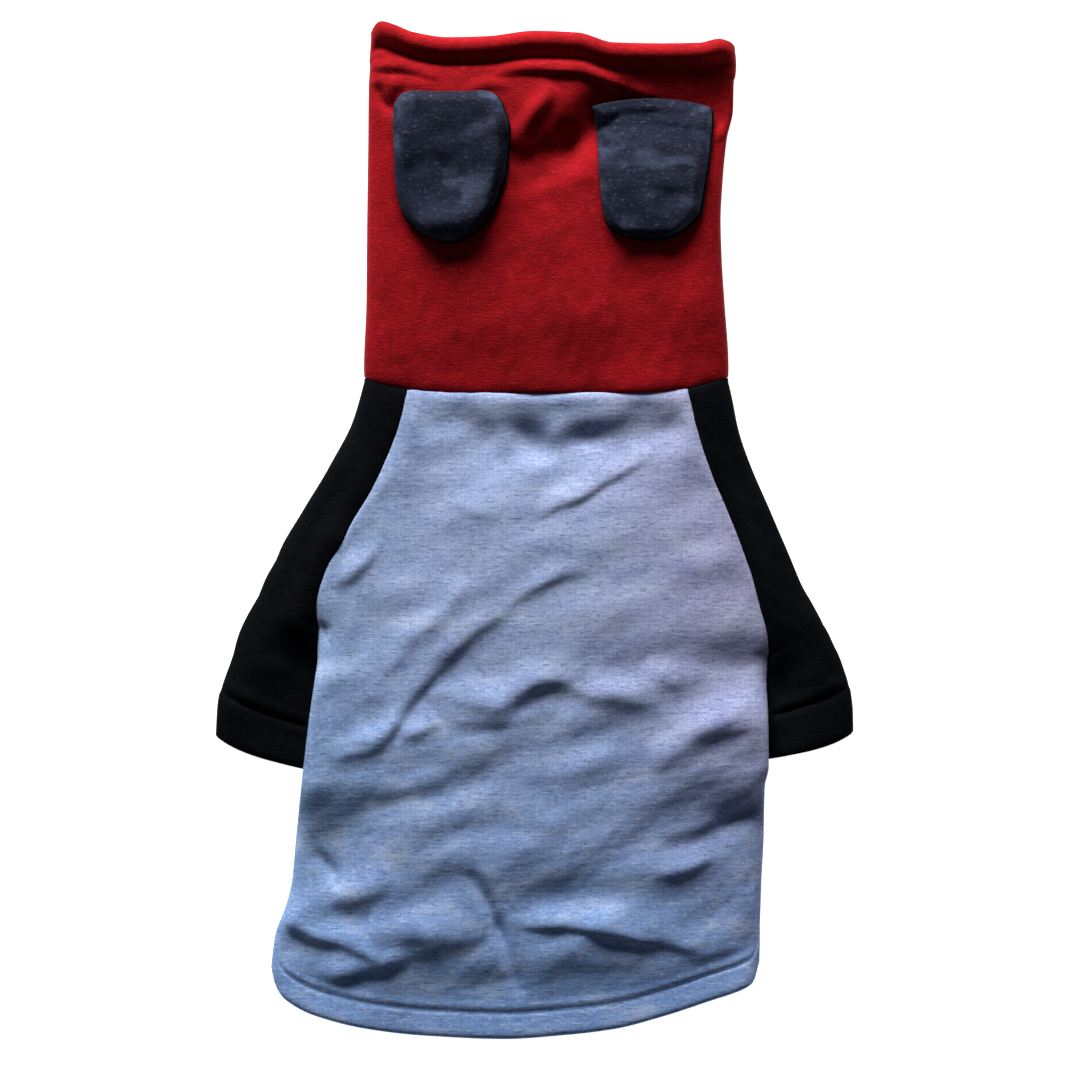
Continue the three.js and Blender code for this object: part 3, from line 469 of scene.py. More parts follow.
def cloth_mesh(name, middle, thick, seam=None, looped=False):
    points = cloth_points(middle, thick, seam, looped)
    rows, columns = thick.shape
    ids = np.arange(rows * columns).reshape(rows, columns)
    if looped:
        ids = np.concatenate([ids, ids[:, :1]], axis=1)
    a, b, c, d = ids[:-1, :-1], ids[1:, :-1], ids[1:, 1:], ids[:-1, 1:]
    layer = rows * columns
    quads = [np.stack([a, b, c, d], -1), np.stack([a, d, c, b], -1) + layer]

    def wall(p, q):
        quads.append(np.stack([q, p, p + layer, q + layer], -1))

    wall(ids[0, 1:], ids[0, :-1])
    wall(ids[-1, :-1], ids[-1, 1:])
    if not looped:
        wall(ids[:-1, 0], ids[1:, 0])
        wall(ids[1:, -1], ids[:-1, -1])
    faces = np.concatenate([q.reshape(-1, 4) for q in quads])

    mesh = bpy.data.meshes.new(name)
    mesh.vertices.add(len(points))
    mesh.vertices.foreach_set("co", ((points + plan_origin) / 1000).ravel())
    mesh.loops.add(faces.size)
    mesh.loops.foreach_set("vertex_index", faces.ravel())
    mesh.polygons.add(len(faces))
    mesh.polygons.foreach_set("loop_start", np.arange(len(faces)) * 4)
    mesh.polygons.foreach_set("use_smooth", np.ones(len(faces), bool))
    mesh.update()
    mesh.validate()
    print(name, len(faces), "faces")
    return add_object(name, mesh)


# %% [markdown]
# ## The hood
# The hood is a tube of brushed fleece, sewn on at the neck and open at the face. Its hem is
# turned in and stitched about 17 mm down, which puffs the doubled edge up into a roll, pulls a
# groove along the stitches, and throws up a small fold below them. That roll is the strongest
# light and dark on the whole garment, so it is worth real height and not a bump map.


# %% Height of the hood's two layers
def neck_line(x):
    return neck_rise * np.abs(x / neck_half) ** 5


def hem_thickness(from_edge, depth):
    return cloth * (1 + hem_swell * (1 - ramp(from_edge, depth - 1, depth + 1)))


def hood_left(y):
    return read(hood_edges, "left", y / hood_length) * neck_half + cloth / 2


def hood_right(y):
    return read(hood_edges, "right", y / hood_length) * neck_half - cloth / 2


def from_opening(x, y, layer):
    share = np.clip((x - hood_left(y)) / (hood_right(y) - hood_left(y)), 0, 1)
    return read(opening_edge, layer, share) * hood_length - y


def hood_relief(x, y):
    edge = from_opening(x, y, "top")
    to_right = ramp(x, 8, 48)
    # the roll is fuller on the right, and the groove behind it deeper on the left
    roll = mix(3.4, 4.4, to_right) * ridge(edge, 3.8, 5)
    groove = mix(-2.6, -0.8, to_right) * ridge(edge, 12, 3.4)
    # the right half slid back and sank behind the hem
    slide = -7.5 * to_right * ramp(edge, 4, 34) * (1 - ramp(edge, 35, 70))
    curl = -2.2 * (1 - round_off(edge, 5))
    broad = 0.45 * unevenness(x, y, 52, 3) + 0.1 * unevenness(x, y, 15, 4)
    neck = -1.6 * (1 - round_off(y - neck_line(x), 7))
    folds = broad * ramp(edge, 30, 60) + crease_height(hood_creases, x, y)
    return roll + groove + slide + curl + neck + folds


def hood_height(x, y, layer):
    thick = hem_thickness(from_opening(x, y, layer), hood_hem)
    rise = round_off(np.minimum(x - hood_left(y), hood_right(y) - x), fold_reach)
    middle = mix(neck_loft, hood_loft, ramp(y, 0, hood_length * 0.25))
    top = mix(middle, opening_loft, ramp(y, hood_length * 0.8, hood_length * 1.02)) - cloth / 2
    if layer == "under":
        return between(top, thick / 2, -rise)
    return between(top, thick / 2, rise) + rise * hood_relief(x, y)


# %% Make the hood
near_edge = [0.12, 0.35, 0.7, 1.1, 1.7, 2.6]  # the first rows from an edge, in millimetres
near_fold = [1, 2, 3.2, 4.6, 6.4, 8.6, 11.4]
rows = stations(hood_length, near_edge, 128)
over = stations(neck_width, near_fold, 118)
under = stations(neck_width, [*near_fold, 16], 34)[::-1][1:-1]
halves = []
for share, layer in ((over, "top"), (under, "under")):
    neck_x = mix(hood_left(neck_rise), hood_right(neck_rise), share)
    open_y = read(opening_edge, layer, share) * hood_length
    y = mix(open_y, neck_line(neck_x) + seam_gap / 2, rows[:, None])
    x = mix(hood_left(y), hood_right(y), share)
    thick = hem_thickness(from_opening(x, y, layer), hood_hem)
    halves.append((np.stack([x, y, hood_height(x, y, layer)], -1), thick))
hood = cloth_mesh("hood_cloth", np.concatenate([half[0] for half in halves], axis=1),
                  np.concatenate([half[1] for half in halves], axis=1), looped=True)

# %% [markdown]
# ## The body
# The back and the chest meet at the two raglan seams above the armpits and are one folded layer
# below them. The body lies on top of both sleeves, so its edges climb over them. The back carries
# nearly all the creases, because it is the layer that was smoothed by hand and slid back.

# %% Edges and heights of the body
sides = dict(
    left=dict(outward=-1, armpit=-0.94 * armhole_depth, neck_corner=hood_left(neck_rise)),
    right=dict(outward=1, armpit=-1.06 * armhole_depth, neck_corner=hood_right(neck_rise)),
)


def body_edge(side, y):
    return read(body_edges, side, -y / back_length) * body_half


def pinch(side, y):
    armpit = sides[side]["armpit"]
    return np.where(y > armpit, 1 - round_off(y - armpit, pinch_reach), 1.0)


def inset(side, y):
    return seam_gap / 2 + pinch(side, y) * cloth / 2


def panel_edge(side, y):
    return body_edge(side, y) - sides[side]["outward"] * inset(side, y)


def from_side(side, x, y):
    return np.maximum(0, (panel_edge(side, y) - x) * sides[side]["outward"])


def chest_rise(side, x, y):
    # the body climbs onto the tucked sleeve below the armpit and comes down past its cuff
    below = sides[side]["armpit"] - y
    cuff = lower_sleeves[side]["down"][-1] * sleeve_length
    over_sleeve = ramp(below, 2, 38) * (1 - ramp(below, cuff + 3, cuff + 34))
    inward = 1 - ramp(from_side(side, x, y), tuck_reach, tuck_reach + 28)
    return (tuck_loft + 2 * seam_gap) * over_sleeve * inward


def body_under(x, y):
    return cloth / 2 + np.maximum(chest_rise("left", x, y), chest_rise("right", x, y))


def body_top(x, y):
    # high along the middle, lower towards both edges, and level with the hood at the neck
    down = -y / back_length
    crown = read(body_heights, "crown", down) * body_loft - cloth / 2
    near_left = from_side("left", x, y) < from_side("right", x, y)
    nearest = np.where(near_left, panel_edge("left", y), panel_edge("right", y))
    inward = np.minimum(from_side("left", x, y), from_side("right", x, y))
    edge = body_under(nearest, y) + read(body_heights, "side", down) * body_loft - cloth
    height = mix(edge, crown, ramp(inward, 0, body_half * 0.6))
    return mix(neck_loft - cloth / 2, height, ramp(-y, 0, 30))


def body_rise(x, y):
    left = 1 - pinch("left", y) * (1 - round_off(from_side("left", x, y), fold_reach))
    right = 1 - pinch("right", y) * (1 - round_off(from_side("right", x, y), fold_reach))
    return np.minimum(left, right)


def from_hem(share, y, shortfall):
    return y + read(hem_edge, "down", share) * back_length - shortfall


def body_relief(x, y, share):
    edge = from_hem(share, y, 0)
    flare = 1.4 * (1 - ramp(edge, 0, body_hem))
    curl = -0.8 * (1 - round_off(edge, 3))
    groove = -0.45 * ridge(edge, body_hem, 1.0)
    roll = 0.45 * ridge(edge, body_hem + 2.8, 1.8)
    slanted = (0.46 * np.pi, 0.84 * np.pi)  # the soft waves lean as the cloth was smoothed
    broad = 0.75 * unevenness(x, y, 54, 7, slanted) + 0.36 * unevenness(x, y, 25, 8, slanted)
    broad = (broad + 0.05 * unevenness(x, y, 8, 9)) * mix(0.45, 1, ramp(-y, 90, 200))
    strength = mix(0.95, 1.05, ramp(-y, 90, 200))
    folds = (strength * crease_height(body_creases, x, y) + broad) * ramp(edge, 13, 26)
    return flare + curl + groove + roll + folds


def back_height(x, y, share):
    sideways = np.minimum(from_side("left", x, y), from_side("right", x, y))
    below_neck = neck_line(x) - y
    rise = body_rise(x, y)
    # the seams pull the cloth down beside them, and no crease crosses them
    seams = -0.9 * rise * (1 - round_off(sideways, 4)) - 2.0 * (1 - round_off(below_neck, 6))
    clear = ramp(sideways, 0, 7) * ramp(below_neck, 0, 8)
    plain = between(body_top(x, y), body_under(x, y), rise)
    return plain + seams + clear * body_relief(x, y, share)


def chest_height(x, y, share):
    swell = hem_thickness(from_hem(share, y, chest_shortfall), body_hem) - cloth
    rise = body_rise(x, y)
    return between(body_top(x, y), body_under(x, y), -rise) + swell / 2 * rise


# %% Make the back and the chest
def body_panel(name, shares, rows, shortfall, height, lift, flip):
    top = neck_line(mix(panel_edge("left", 0.0), panel_edge("right", 0.0), shares)) - seam_gap / 2
    bottom = -read(hem_edge, "down", shares) * back_length
    # only the last rows move when a panel stops short of the hem
    short = shortfall * np.clip((rows - 0.93) / 0.07, 0, 1)[:, None]
    y = mix(top, bottom, rows[:, None]) + short
    x = mix(panel_edge("left", y), panel_edge("right", y), shares)
    share = np.broadcast_to(shares, y.shape)
    z = height(x, y, share) + lift * (1 - body_rise(x, y))
    thick = hem_thickness(from_hem(share, y, shortfall), body_hem)
    # along a seam the cloth is thickened within the seam's own plane, so that panels meet
    seam = np.zeros((*y.shape, 3))
    seam[0] = (0, 1, 0)
    for column, side in ((0, "left"), (-1, "right")):
        edge_y = y[1:, column]
        slant = body_edge(side, edge_y + 1) - body_edge(side, edge_y - 1)
        level = np.stack([np.full(slant.shape, 2.0), -slant, np.zeros(slant.shape)], -1)
        level /= np.linalg.norm(level, axis=1, keepdims=True)
        below = (edge_y < sides[side]["armpit"])[:, None]
        seam[1:, column] = np.where(below, np.array([0, 0, 1.0]), level)
    grid = np.stack([x, y, z], -1)
    if flip:
        grid, thick, seam = grid[:, ::-1], thick[:, ::-1], seam[:, ::-1]
    return cloth_mesh(name, grid, thick, seam)


rows = stations(back_length, near_edge, 226)
back = body_panel("back_cloth", stations(body_width, [*near_edge, 4, 5.8], 158), rows,
                  shortfall=0, height=back_height, lift=seam_gap / 2, flip=False)
rows = stations(back_length, near_edge, 90)
chest = body_panel("chest_cloth", stations(body_width, [*near_edge, 4.5, 8], 44), rows,
                   shortfall=chest_shortfall, height=chest_height, lift=-seam_gap / 2, flip=True)

# %% [markdown]
# ## The sleeves
# A raglan sleeve is one sheet that starts at the seam on the belly side, goes out round the
# outer fold and comes back over the top. Below the armpit its inner half slips in under the body.
# So each row of the grid runs from the belly's seam out to the fold and back over the top, and
# the rows go down the raglan seam first and then down the hidden edge under the body.

# %% Make the sleeves
def sleeve_relief(x, y, from_cuff, side):
    groove = -0.9 * ridge(from_cuff, cuff_hem, 1.6)
    roll = 0.8 * ridge(from_cuff, cuff_hem + 4, 2.8)
    curl = -1.2 * (1 - round_off(from_cuff, 5))
    broad = 0.35 * unevenness(x, y, 44, 21) + 0.12 * unevenness(x, y, 15, 22)
    return groove + roll + curl + broad + crease_height(sleeve_creases[side], x, y)


def sleeve_cloth(name, side):
    outward, armpit = sides[side]["outward"], sides[side]["armpit"]
    top = float(neck_line(panel_edge(side, 0.0))) - seam_gap / 2
    upper = stations(top - armpit, near_edge, 84)
    lower = 1 - stations(sleeve_length, near_edge, 62)[::-1]
    lower = lower[lower > 0.004]
    y_seam = np.concatenate([mix(top, armpit, upper), np.full(lower.shape, armpit)])[:, None]
    lower = np.concatenate([np.zeros(upper.shape), lower])[:, None]
    shares_in = stations(cuff_width, near_edge, 12)
    shares_out = stations(cuff_width, near_edge, 44)
    outer = np.concatenate([1 - shares_in, shares_out[1:]])[None, :]
    over = np.concatenate([np.full(shares_in.size, -1.0), np.full(shares_out.size - 1, 1.0)])
    over = over[None, :]
    lower_table, upper_table = lower_sleeves[side], upper_sleeves[side]

    share = (y_seam - top) / (armpit - top)
    at_neck = 1 - ramp(share, 0, 0.3)  # the sleeve still follows the line of the neck
    tuck = ramp(lower, 0, 0.35)  # the sleeve flattens where the body lies on it
    inner_y = y_seam - read(lower_table, "down", lower) * sleeve_length
    inner_x = body_edge(side, inner_y) + outward * (
        inset(side, y_seam) - read(lower_table, "inward", lower) * sleeve_length)
    slip_under = -outward * mix(0.5 * ramp(share, 0.93, 1), 1.7, ramp(lower, 0, 0.05))
    corner_x = body_edge(side, top) + outward * inset(side, top)
    corner = sides[side]["neck_corner"]
    fold_x, fold_y = corner - corner_x, neck_line(corner) - seam_gap / 2 - top
    is_lower = lower > 0
    out = np.where(is_lower, read(lower_table, "out", lower), read(upper_table, "out", share))
    up = np.where(is_lower, read(lower_table, "up", lower), read(upper_table, "up", share))
    to_x = mix(outward * out * cuff_width, fold_x, at_neck)
    to_y = mix(up * cuff_width, fold_y, at_neck)
    width = np.hypot(to_x, to_y)
    outer_top = mix(neck_loft, sleeve_loft, ramp(share, 0, 0.7)) - cloth / 2
    inner_top = mix(body_top(body_edge(side, y_seam), y_seam), tuck_loft - cloth / 2, tuck)
    reach = lower_table["down"][-1] * sleeve_length
    from_cuff = np.where(is_lower, (1 - lower) * reach, sleeve_length)

    # from the fold to the seam, then bent along the neck and bowed at the cuff
    x = inner_x + to_x * (1 - outer) + slip_under * outer**4
    y = inner_y + to_y * (1 - outer)
    chord = mix(neck_line(inner_x + to_x), neck_line(inner_x), outer)
    y = y + (neck_line(x) - chord) * at_neck
    y = y - cuff_bow * (1 - np.abs(2 * outer - 1) ** 3) * ramp(lower, 0.3, 1)
    thick = hem_thickness(from_cuff, cuff_hem) * np.ones(outer.shape)
    height = mix(outer_top, inner_top, ramp(outer, 0.3, 0.8))
    inward = (1 - outer) * width
    opened = 1 - pinch(side, y_seam) * (1 - round_off(inward, fold_reach))
    rise = round_off(outer * width, fold_reach) * opened
    z = between(height, thick / 2, over * rise)
    shown = (over > 0) * rise * (1 - ramp(lower, 0, 0.2) * ramp(outer, 0.72, 0.9))
    below_neck = neck_line(x) - y
    seams = -0.9 * (1 - tuck) * (1 - round_off(inward, 4)) - 2.0 * (1 - round_off(below_neck, 6))
    relief = sleeve_relief(x, y, from_cuff * np.ones(outer.shape), side)
    z = z + shown * (seams + ramp(below_neck, 0, 8) * relief)
    on_seam = np.zeros(z.shape)
    on_seam[:, [0, -1]] = 1
    z = z + on_seam * over * seam_gap * pinch(side, y_seam) / 2
    grid = np.stack([x, y, z], -1)
    if side == "right":
        grid, thick = grid[:, ::-1], thick[:, ::-1]
    return cloth_mesh(name, grid, thick)


sleeve_left = sleeve_cloth("sleeve_left_cloth", "left")
sleeve_right = sleeve_cloth("sleeve_right_cloth", "right")

# %% [markdown]
# ## The ear flaps
# Each flap is a puffy dark blue face on a black backing that is a little larger, so a dark rim
# shows round its edge. It is sewn on along its top only and simply lies on the hood, bridging
# the small dents under it, which is why its height follows a smoothed upper limit of the hood.
# The padding between face and backing never falls to nothing, so no crease of the face can let
# the backing through.


# %% Make the ear flaps
def support(x, y, softness=0.5, clear=0.35):
    steps = [(dx, dy) for dx in (-12, -6, 0, 6, 12) for dy in (-7, -3.5, 0, 3.5, 7)]
    heights = np.stack([hood_height(x + dx, y + dy, "top") for dx, dy in steps])
    highest = heights.max(0)
    return highest + softness * np.log(np.exp((heights - highest) / softness).mean(0)) + clear


def ear_cloth_piece(name, outline, flap_length, centre, top, arch, corner, is_face,
                    least_padding=0.1):
    rim = 0 if is_face else ear_rim
    length = flap_length + rim
    rows = stations(length, near_edge, 74)
    # the rows lie closer towards the rounded end
    rows = rows + 0.06 * np.sin(np.pi * rows) * (rows > 0) * (rows < 1)
    shares = stations(ear_width, near_edge, 58)
    left = (read(outline, "left", rows) * ear_width - rim * 0.3)[:, None]
    right = (read(outline, "right", rows) * ear_width + rim)[:, None]
    x = centre + mix(left, right, shares)
    bend = arch * (1 - (2 * shares - 1) ** 2)
    bend = bend - corner * (1 - round_off(np.minimum(shares, 1 - shares), 0.2))
    y = top - rows[:, None] * length + bend * (1 - rows[:, None]) ** 3
    edge = np.minimum(np.minimum(x - centre - left, centre + right - x), y - top + length)
    edge = np.minimum(edge, rows[:, None] * length)
    base = cloth / 2 + ear_clearance + ear_cloth / 2 + (ear_cloth + seam_gap if is_face else 0)
    z = support(x, y) + base
    if is_face:
        padding = ear_puff + 0.3 * unevenness(x, y, 17, 31) + crease_height(ear_creases, x, y)
        z = z + ramp(edge, 0, 5) * np.maximum(padding, least_padding)
        z = z - 0.8 * (1 - round_off(edge, 3.5))
    return cloth_mesh(name, np.stack([x, y, z], -1), np.full(z.shape, float(ear_cloth)))


left_at = dict(outline=left_ear, flap_length=left_ear_length, centre=-0.52 * neck_half,
               top=0.853 * hood_length, arch=-1.2, corner=6)
right_at = dict(outline=right_ear, flap_length=right_ear_length, centre=0.59 * neck_half,
                top=0.808 * hood_length, arch=3.8, corner=0.8)
ear_left_back = ear_cloth_piece("ear_left_backing", is_face=False, **left_at)
ear_left_front = ear_cloth_piece("ear_left_face", is_face=True, **left_at)
ear_right_back = ear_cloth_piece("ear_right_backing", is_face=False, **right_at)
ear_right_front = ear_cloth_piece("ear_right_face", is_face=True, **right_at)

# %% [markdown]
# ## Stitches
# The thread is short loops of real geometry, sunk into the groove that each hem's stitching
# pulls. A painted dashed line would vanish as soon as the light comes from the side.


# %% Sew the hems
def stitch_row(name, path, pitch=2.6, long=1.9, thick=0.42, flat=0.7, sunk=0.25, around=6):
    run = np.concatenate([[0], np.cumsum(np.linalg.norm(np.diff(path, axis=0), axis=1))])
    starts = np.arange(pitch / 2, run[-1] - pitch / 2, pitch)

    def place(at):
        return np.stack([np.interp(at, run, path[:, k]) for k in range(3)], -1)

    middle, ahead = place(starts), place(starts + 0.2) - place(starts - 0.2)
    ahead /= np.linalg.norm(ahead, axis=1, keepdims=True)
    aside = np.cross(ahead, [0, 0, 1.0])
    aside /= np.linalg.norm(aside, axis=1, keepdims=True)
    up = np.cross(aside, ahead)
    points, faces = [], []
    # place along the stitch and girth there, as shares of its length and thickness
    rings = [(-0.5, 0.15), (-0.36, 0.85), (0, 1), (0.36, 0.85), (0.5, 0.15)]
    turns = np.linspace(0, 2 * np.pi, around, endpoint=False)
    last = around * (len(rings) - 1)
    for m, a, s, u in zip(middle, ahead, aside, up):
        first = len(points)
        for along, girth in rings:
            sink = -sunk * (2 * along) ** 2
            for turn in turns:
                ring = s * np.cos(turn) + u * np.sin(turn) * flat
                points.append(m + a * along * long + u * sink + ring * girth * thick / 2)
        for ring_start in range(first, first + last, around):
            for i in range(around):
                here, beside = ring_start + i, ring_start + (i + 1) % around
                faces.append((here, beside, beside + around, here + around))
        faces.append(tuple(first + i for i in reversed(range(around))))
        faces.append(tuple(first + last + i for i in range(around)))
    mesh = bpy.data.meshes.new(name)
    mesh.from_pydata(((np.array(points) + plan_origin) / 1000).tolist(), [], faces)
    mesh.polygons.foreach_set("use_smooth", np.ones(len(faces), bool))
    print(name, len(starts), "stitches")
    return add_object(name, mesh)


across = np.linspace(0.02, 0.98, 240)
thread_lift = cloth / 2 + 0.15
hood_y = read(opening_edge, "top", across) * hood_length - hood_hem
hood_x = mix(hood_left(hood_y), hood_right(hood_y), across)
hood_stitches = stitch_row("hood_stitches", np.stack(
    [hood_x, hood_y, hood_height(hood_x, hood_y, "top") + thread_lift], -1))
tail_y = -read(hem_edge, "down", across) * back_length + body_hem
tail_x = mix(panel_edge("left", tail_y), panel_edge("right", tail_y), across)
tail_stitches = stitch_row("tail_stitches", np.stack(
    [tail_x, tail_y, back_height(tail_x, tail_y, across) + thread_lift], -1))

# %% [markdown]
# ## Fabrics
# There are two families, fleece and melange jersey, and each comes in two colours. A photograph
# of cloth would be the quick way to colour them, but it stretches over folds and repeats. Here
# all of it comes from noise that is stretched along the knit and measured in millimetres of
# cloth, so it has the same scale on every piece.


# %% Shader helpers
def linear(red, green, blue):
    screen = (red, green, blue)
    light = [((c + 0.055) / 1.055) ** 2.4 if c > 0.04045 else c / 12.92 for c in screen]
    return (*light, 1)


def shader_node(tree, kind, inputs=None, **settings):
    node = tree.nodes.new("ShaderNode" + kind)
    for key, value in settings.items():
        setattr(node, key, value)
    for key, value in (inputs or {}).items():
        if isinstance(value, bpy.types.NodeSocket):
            tree.links.new(value, node.inputs[key])
        else:
            node.inputs[key].default_value = value
    return node


def stretched_noise(tree, period, detail=2.0, rough=0.5, shift=0.0):
    place = shader_node(tree, "TexCoord").outputs["Object"]
    scale = tuple(1000 / mm for mm in period)
    mapped = shader_node(tree, "Mapping", {"Vector": place, "Scale": scale,
                                           "Location": (shift, shift, shift)})
    noise = shader_node(tree, "TexNoise", {"Vector": mapped.outputs[0], "Scale": 1.0,
                                           "Detail": detail, "Roughness": rough})
    return noise.outputs["Fac"]


def spread(tree, value, low, high, to_low=0.0, to_high=1.0):
    ends = {"From Min": low, "From Max": high, "To Min": to_low, "To Max": to_high}
    return shader_node(tree, "MapRange", {"Value": value, **ends}, clamp=True).outputs[0]


def blend_colour(tree, share, under, over, kind="MIX"):
    node = shader_node(tree, "Mix", data_type="RGBA", blend_type=kind)
    for socket, value in ((node.inputs[0], share), (node.inputs[6], under), (node.inputs[7], over)):
        if isinstance(value, bpy.types.NodeSocket):
            tree.links.new(value, socket)
        else:
            socket.default_value = value
    return node.outputs[2]


def layered(tree, shade, rows):
    for pattern, start, full, strength, over in rows:
        share = spread(tree, pattern, start, full, 0.0, strength)
        shade = blend_colour(tree, share, shade, over)
    return shade


def bumped(tree, height, distance, strength, under=None):
    inputs = {"Height": height, "Distance": distance, "Strength": strength}
    if under is not None:
        inputs["Normal"] = under
    return shader_node(tree, "Bump", inputs).outputs[0]


def finish_fabric(material, colour, rough, normal, sheen, sheen_tint, specular=0.12):
    tree = material.node_tree
    skin = tree.nodes["Principled BSDF"]
    tree.links.new(colour, skin.inputs["Base Color"])
    tree.links.new(rough, skin.inputs["Roughness"])
    tree.links.new(normal, skin.inputs["Normal"])
    skin.inputs["Specular IOR Level"].default_value = specular
    skin.inputs["Sheen Weight"].default_value = sheen
    skin.inputs["Sheen Roughness"].default_value = 0.45
    skin.inputs["Sheen Tint"].default_value = sheen_tint
    return material


def new_fabric(name):
    material = bpy.data.materials.new(name)
    material.use_nodes = True
    return material, material.node_tree


# %% [markdown]
# ## Fleece
# Fleece is jersey brushed until its face is a short nap. It scatters light softly, glows a little
# at grazing angles, and its colour is mottled where the nap lies differently. Particle hair could
# stand for the nap, but at this distance colour, bump and a thin sheen show the same.


# %% Fleece
def fleece(name, colour, deep, bright, sheen, tint, lint, specular):
    material, tree = new_fabric(name)
    patches = stretched_noise(tree, (34, 26, 30), 3.0, 0.6)
    nap = stretched_noise(tree, (3.4, 1.1, 2.0), 3.0, 0.65, 3.0)
    fibre = stretched_noise(tree, (0.9, 0.5, 0.7), 2.0, 0.7, 7.0)
    shade = blend_colour(tree, spread(tree, patches, 0.36, 0.66), deep, colour)
    shade = layered(tree, shade, [
        # pattern, where it starts, where it is full, strength, colour
        (nap, 0.52, 0.74, 0.55, bright),
        (nap, 0.48, 0.3, 0.6, deep),
        (fibre, 0.67, 0.76, lint, bright),
    ])
    rough = spread(tree, fibre, 0.3, 0.7, 0.82, 1.0)
    normal = bumped(tree, nap, 0.0008, 0.3)
    normal = bumped(tree, fibre, 0.0004, 0.5, normal)
    return finish_fabric(material, shade, rough, normal, sheen, tint, specular)


red_fleece = fleece("red_fleece", linear(0.61, 0.048, 0.09), linear(0.50, 0.025, 0.06),
                    linear(0.76, 0.13, 0.15), 0.05, linear(0.9, 0.35, 0.35), 0.5, 0.1)
black_fleece = fleece("black_fleece", linear(0.04, 0.047, 0.066), linear(0.022, 0.026, 0.04),
                      linear(0.085, 0.095, 0.13), 0.012, linear(0.4, 0.45, 0.6), 0.5, 0.04)

# %% [markdown]
# ## Melange jersey
# Melange jersey is knitted from yarn of mixed fibres, so its colour breaks into short level
# flecks, with fine columns of stitches running down it. The pale blue also shifts a little across
# the garment, from violet on the right to a cooler blue on the left. Towards the tail it is painted
# darker and bluer, as painted shade where the lamp's light falls off.


# %% Melange jersey
def knit(tree, wale, course):
    place = shader_node(tree, "TexCoord").outputs["Object"]
    waves = []
    for axis, pitch, wobble in (("X", wale, 5.0), ("Y", course, 6.0)):
        settings = {"Vector": place, "Scale": 1000 / pitch / 20 * math.pi, "Distortion": wobble,
                    "Detail": 2.0, "Detail Scale": 1.5}
        wave = shader_node(tree, "TexWave", settings, bands_direction=axis)
        waves.append(wave.outputs["Fac"])
    both = shader_node(tree, "Math", {0: waves[0], 1: waves[1]}, operation="ADD").outputs[0]
    return shader_node(tree, "Math", {0: both, 1: 0.5}, operation="MULTIPLY").outputs[0]


def across_cloth(tree, axis, start, end, wander=0.035):
    place = shader_node(tree, "TexCoord").outputs["Object"]
    along = shader_node(tree, "SeparateXYZ", {"Vector": place}).outputs[axis]
    broad = stretched_noise(tree, (50, 40, 45), 2.0, 0.5, 29.0)
    terms = {0: broad, 1: wander * 2, 2: along}
    moved = shader_node(tree, "Math", terms, operation="MULTIPLY_ADD").outputs[0]
    return spread(tree, moved, start + wander, end + wander)


def melange(name, colour, dark, light, tints_and_falloff, sheen, tint, shares, cloud):
    material, tree = new_fabric(name)
    clouds = stretched_noise(tree, cloud, 3.0, 0.55, 23.0)
    flecks = stretched_noise(tree, (5.6, 0.85, 3.0), 3.0, 0.6, 5.0)
    slubs = stretched_noise(tree, (9.0, 0.8, 4.0), 2.0, 0.6, 11.0)
    mottle = stretched_noise(tree, (2.4, 1.4, 2.0), 3.0, 0.7, 17.0)
    loops = knit(tree, 1.15, 1.35)
    shade = colour
    # these colours are tints of the cloth, and the one towards the tail is painted shade
    for axis, start, end, tint_and_falloff_colour in tints_and_falloff:
        shade = blend_colour(tree, across_cloth(tree, axis, start, end), shade, tint_and_falloff_colour)
    shade = layered(tree, shade, [
        # pattern, where it starts, where it is full, strength, colour
        (clouds, 0.47, 0.3, shares["cloud"], dark),
        (clouds, 0.53, 0.7, shares["cloud"], light),
        (mottle, 0.44, 0.28, shares["mottle"], dark),
        (mottle, 0.56, 0.74, shares["mottle"], light),
        (flecks, 0.44, 0.26, shares["dark"], dark),
        (slubs, 0.58, 0.78, shares["light"], light),
        (loops, 0.5, 0.0, 0.2, dark),
    ])
    rough = spread(tree, mottle, 0.3, 0.7, 0.8, 0.97)
    normal = bumped(tree, loops, 0.0001, 0.3)
    normal = bumped(tree, mottle, 0.0004, 0.22, normal)
    return finish_fabric(material, shade, rough, normal, sheen, tint)


pale_tints_and_painted_falloff = [
    # axis, where it starts and ends in metres, colour
    ("X", 0.01, 0.12, linear(0.67, 0.65, 0.79)),
    ("X", -0.05, -0.14, linear(0.54, 0.67, 0.84)),
    # painted shade: darker and bluer towards the tail, where the lamp's light falls off
    ("Y", -0.04, -0.25, linear(0.48, 0.62, 0.83)),
]
pale_blue = melange("pale_blue_melange", linear(0.605, 0.67, 0.825), linear(0.34, 0.40, 0.585),
                    linear(0.79, 0.84, 0.94), pale_tints_and_painted_falloff, 0.04, linear(0.8, 0.85, 0.95),
                    dict(cloud=0.4, mottle=0.7, dark=0.95, light=0.7), (26, 13, 20))
dark_blue = melange("dark_blue_melange", linear(0.105, 0.122, 0.19), linear(0.03, 0.036, 0.07),
                    linear(0.36, 0.395, 0.50), [], 0.03, linear(0.6, 0.7, 0.9),
                    dict(cloud=0.42, mottle=0.55, dark=0.85, light=0.08), (26, 15, 18))
print("fabrics:", [material.name for material in bpy.data.materials])
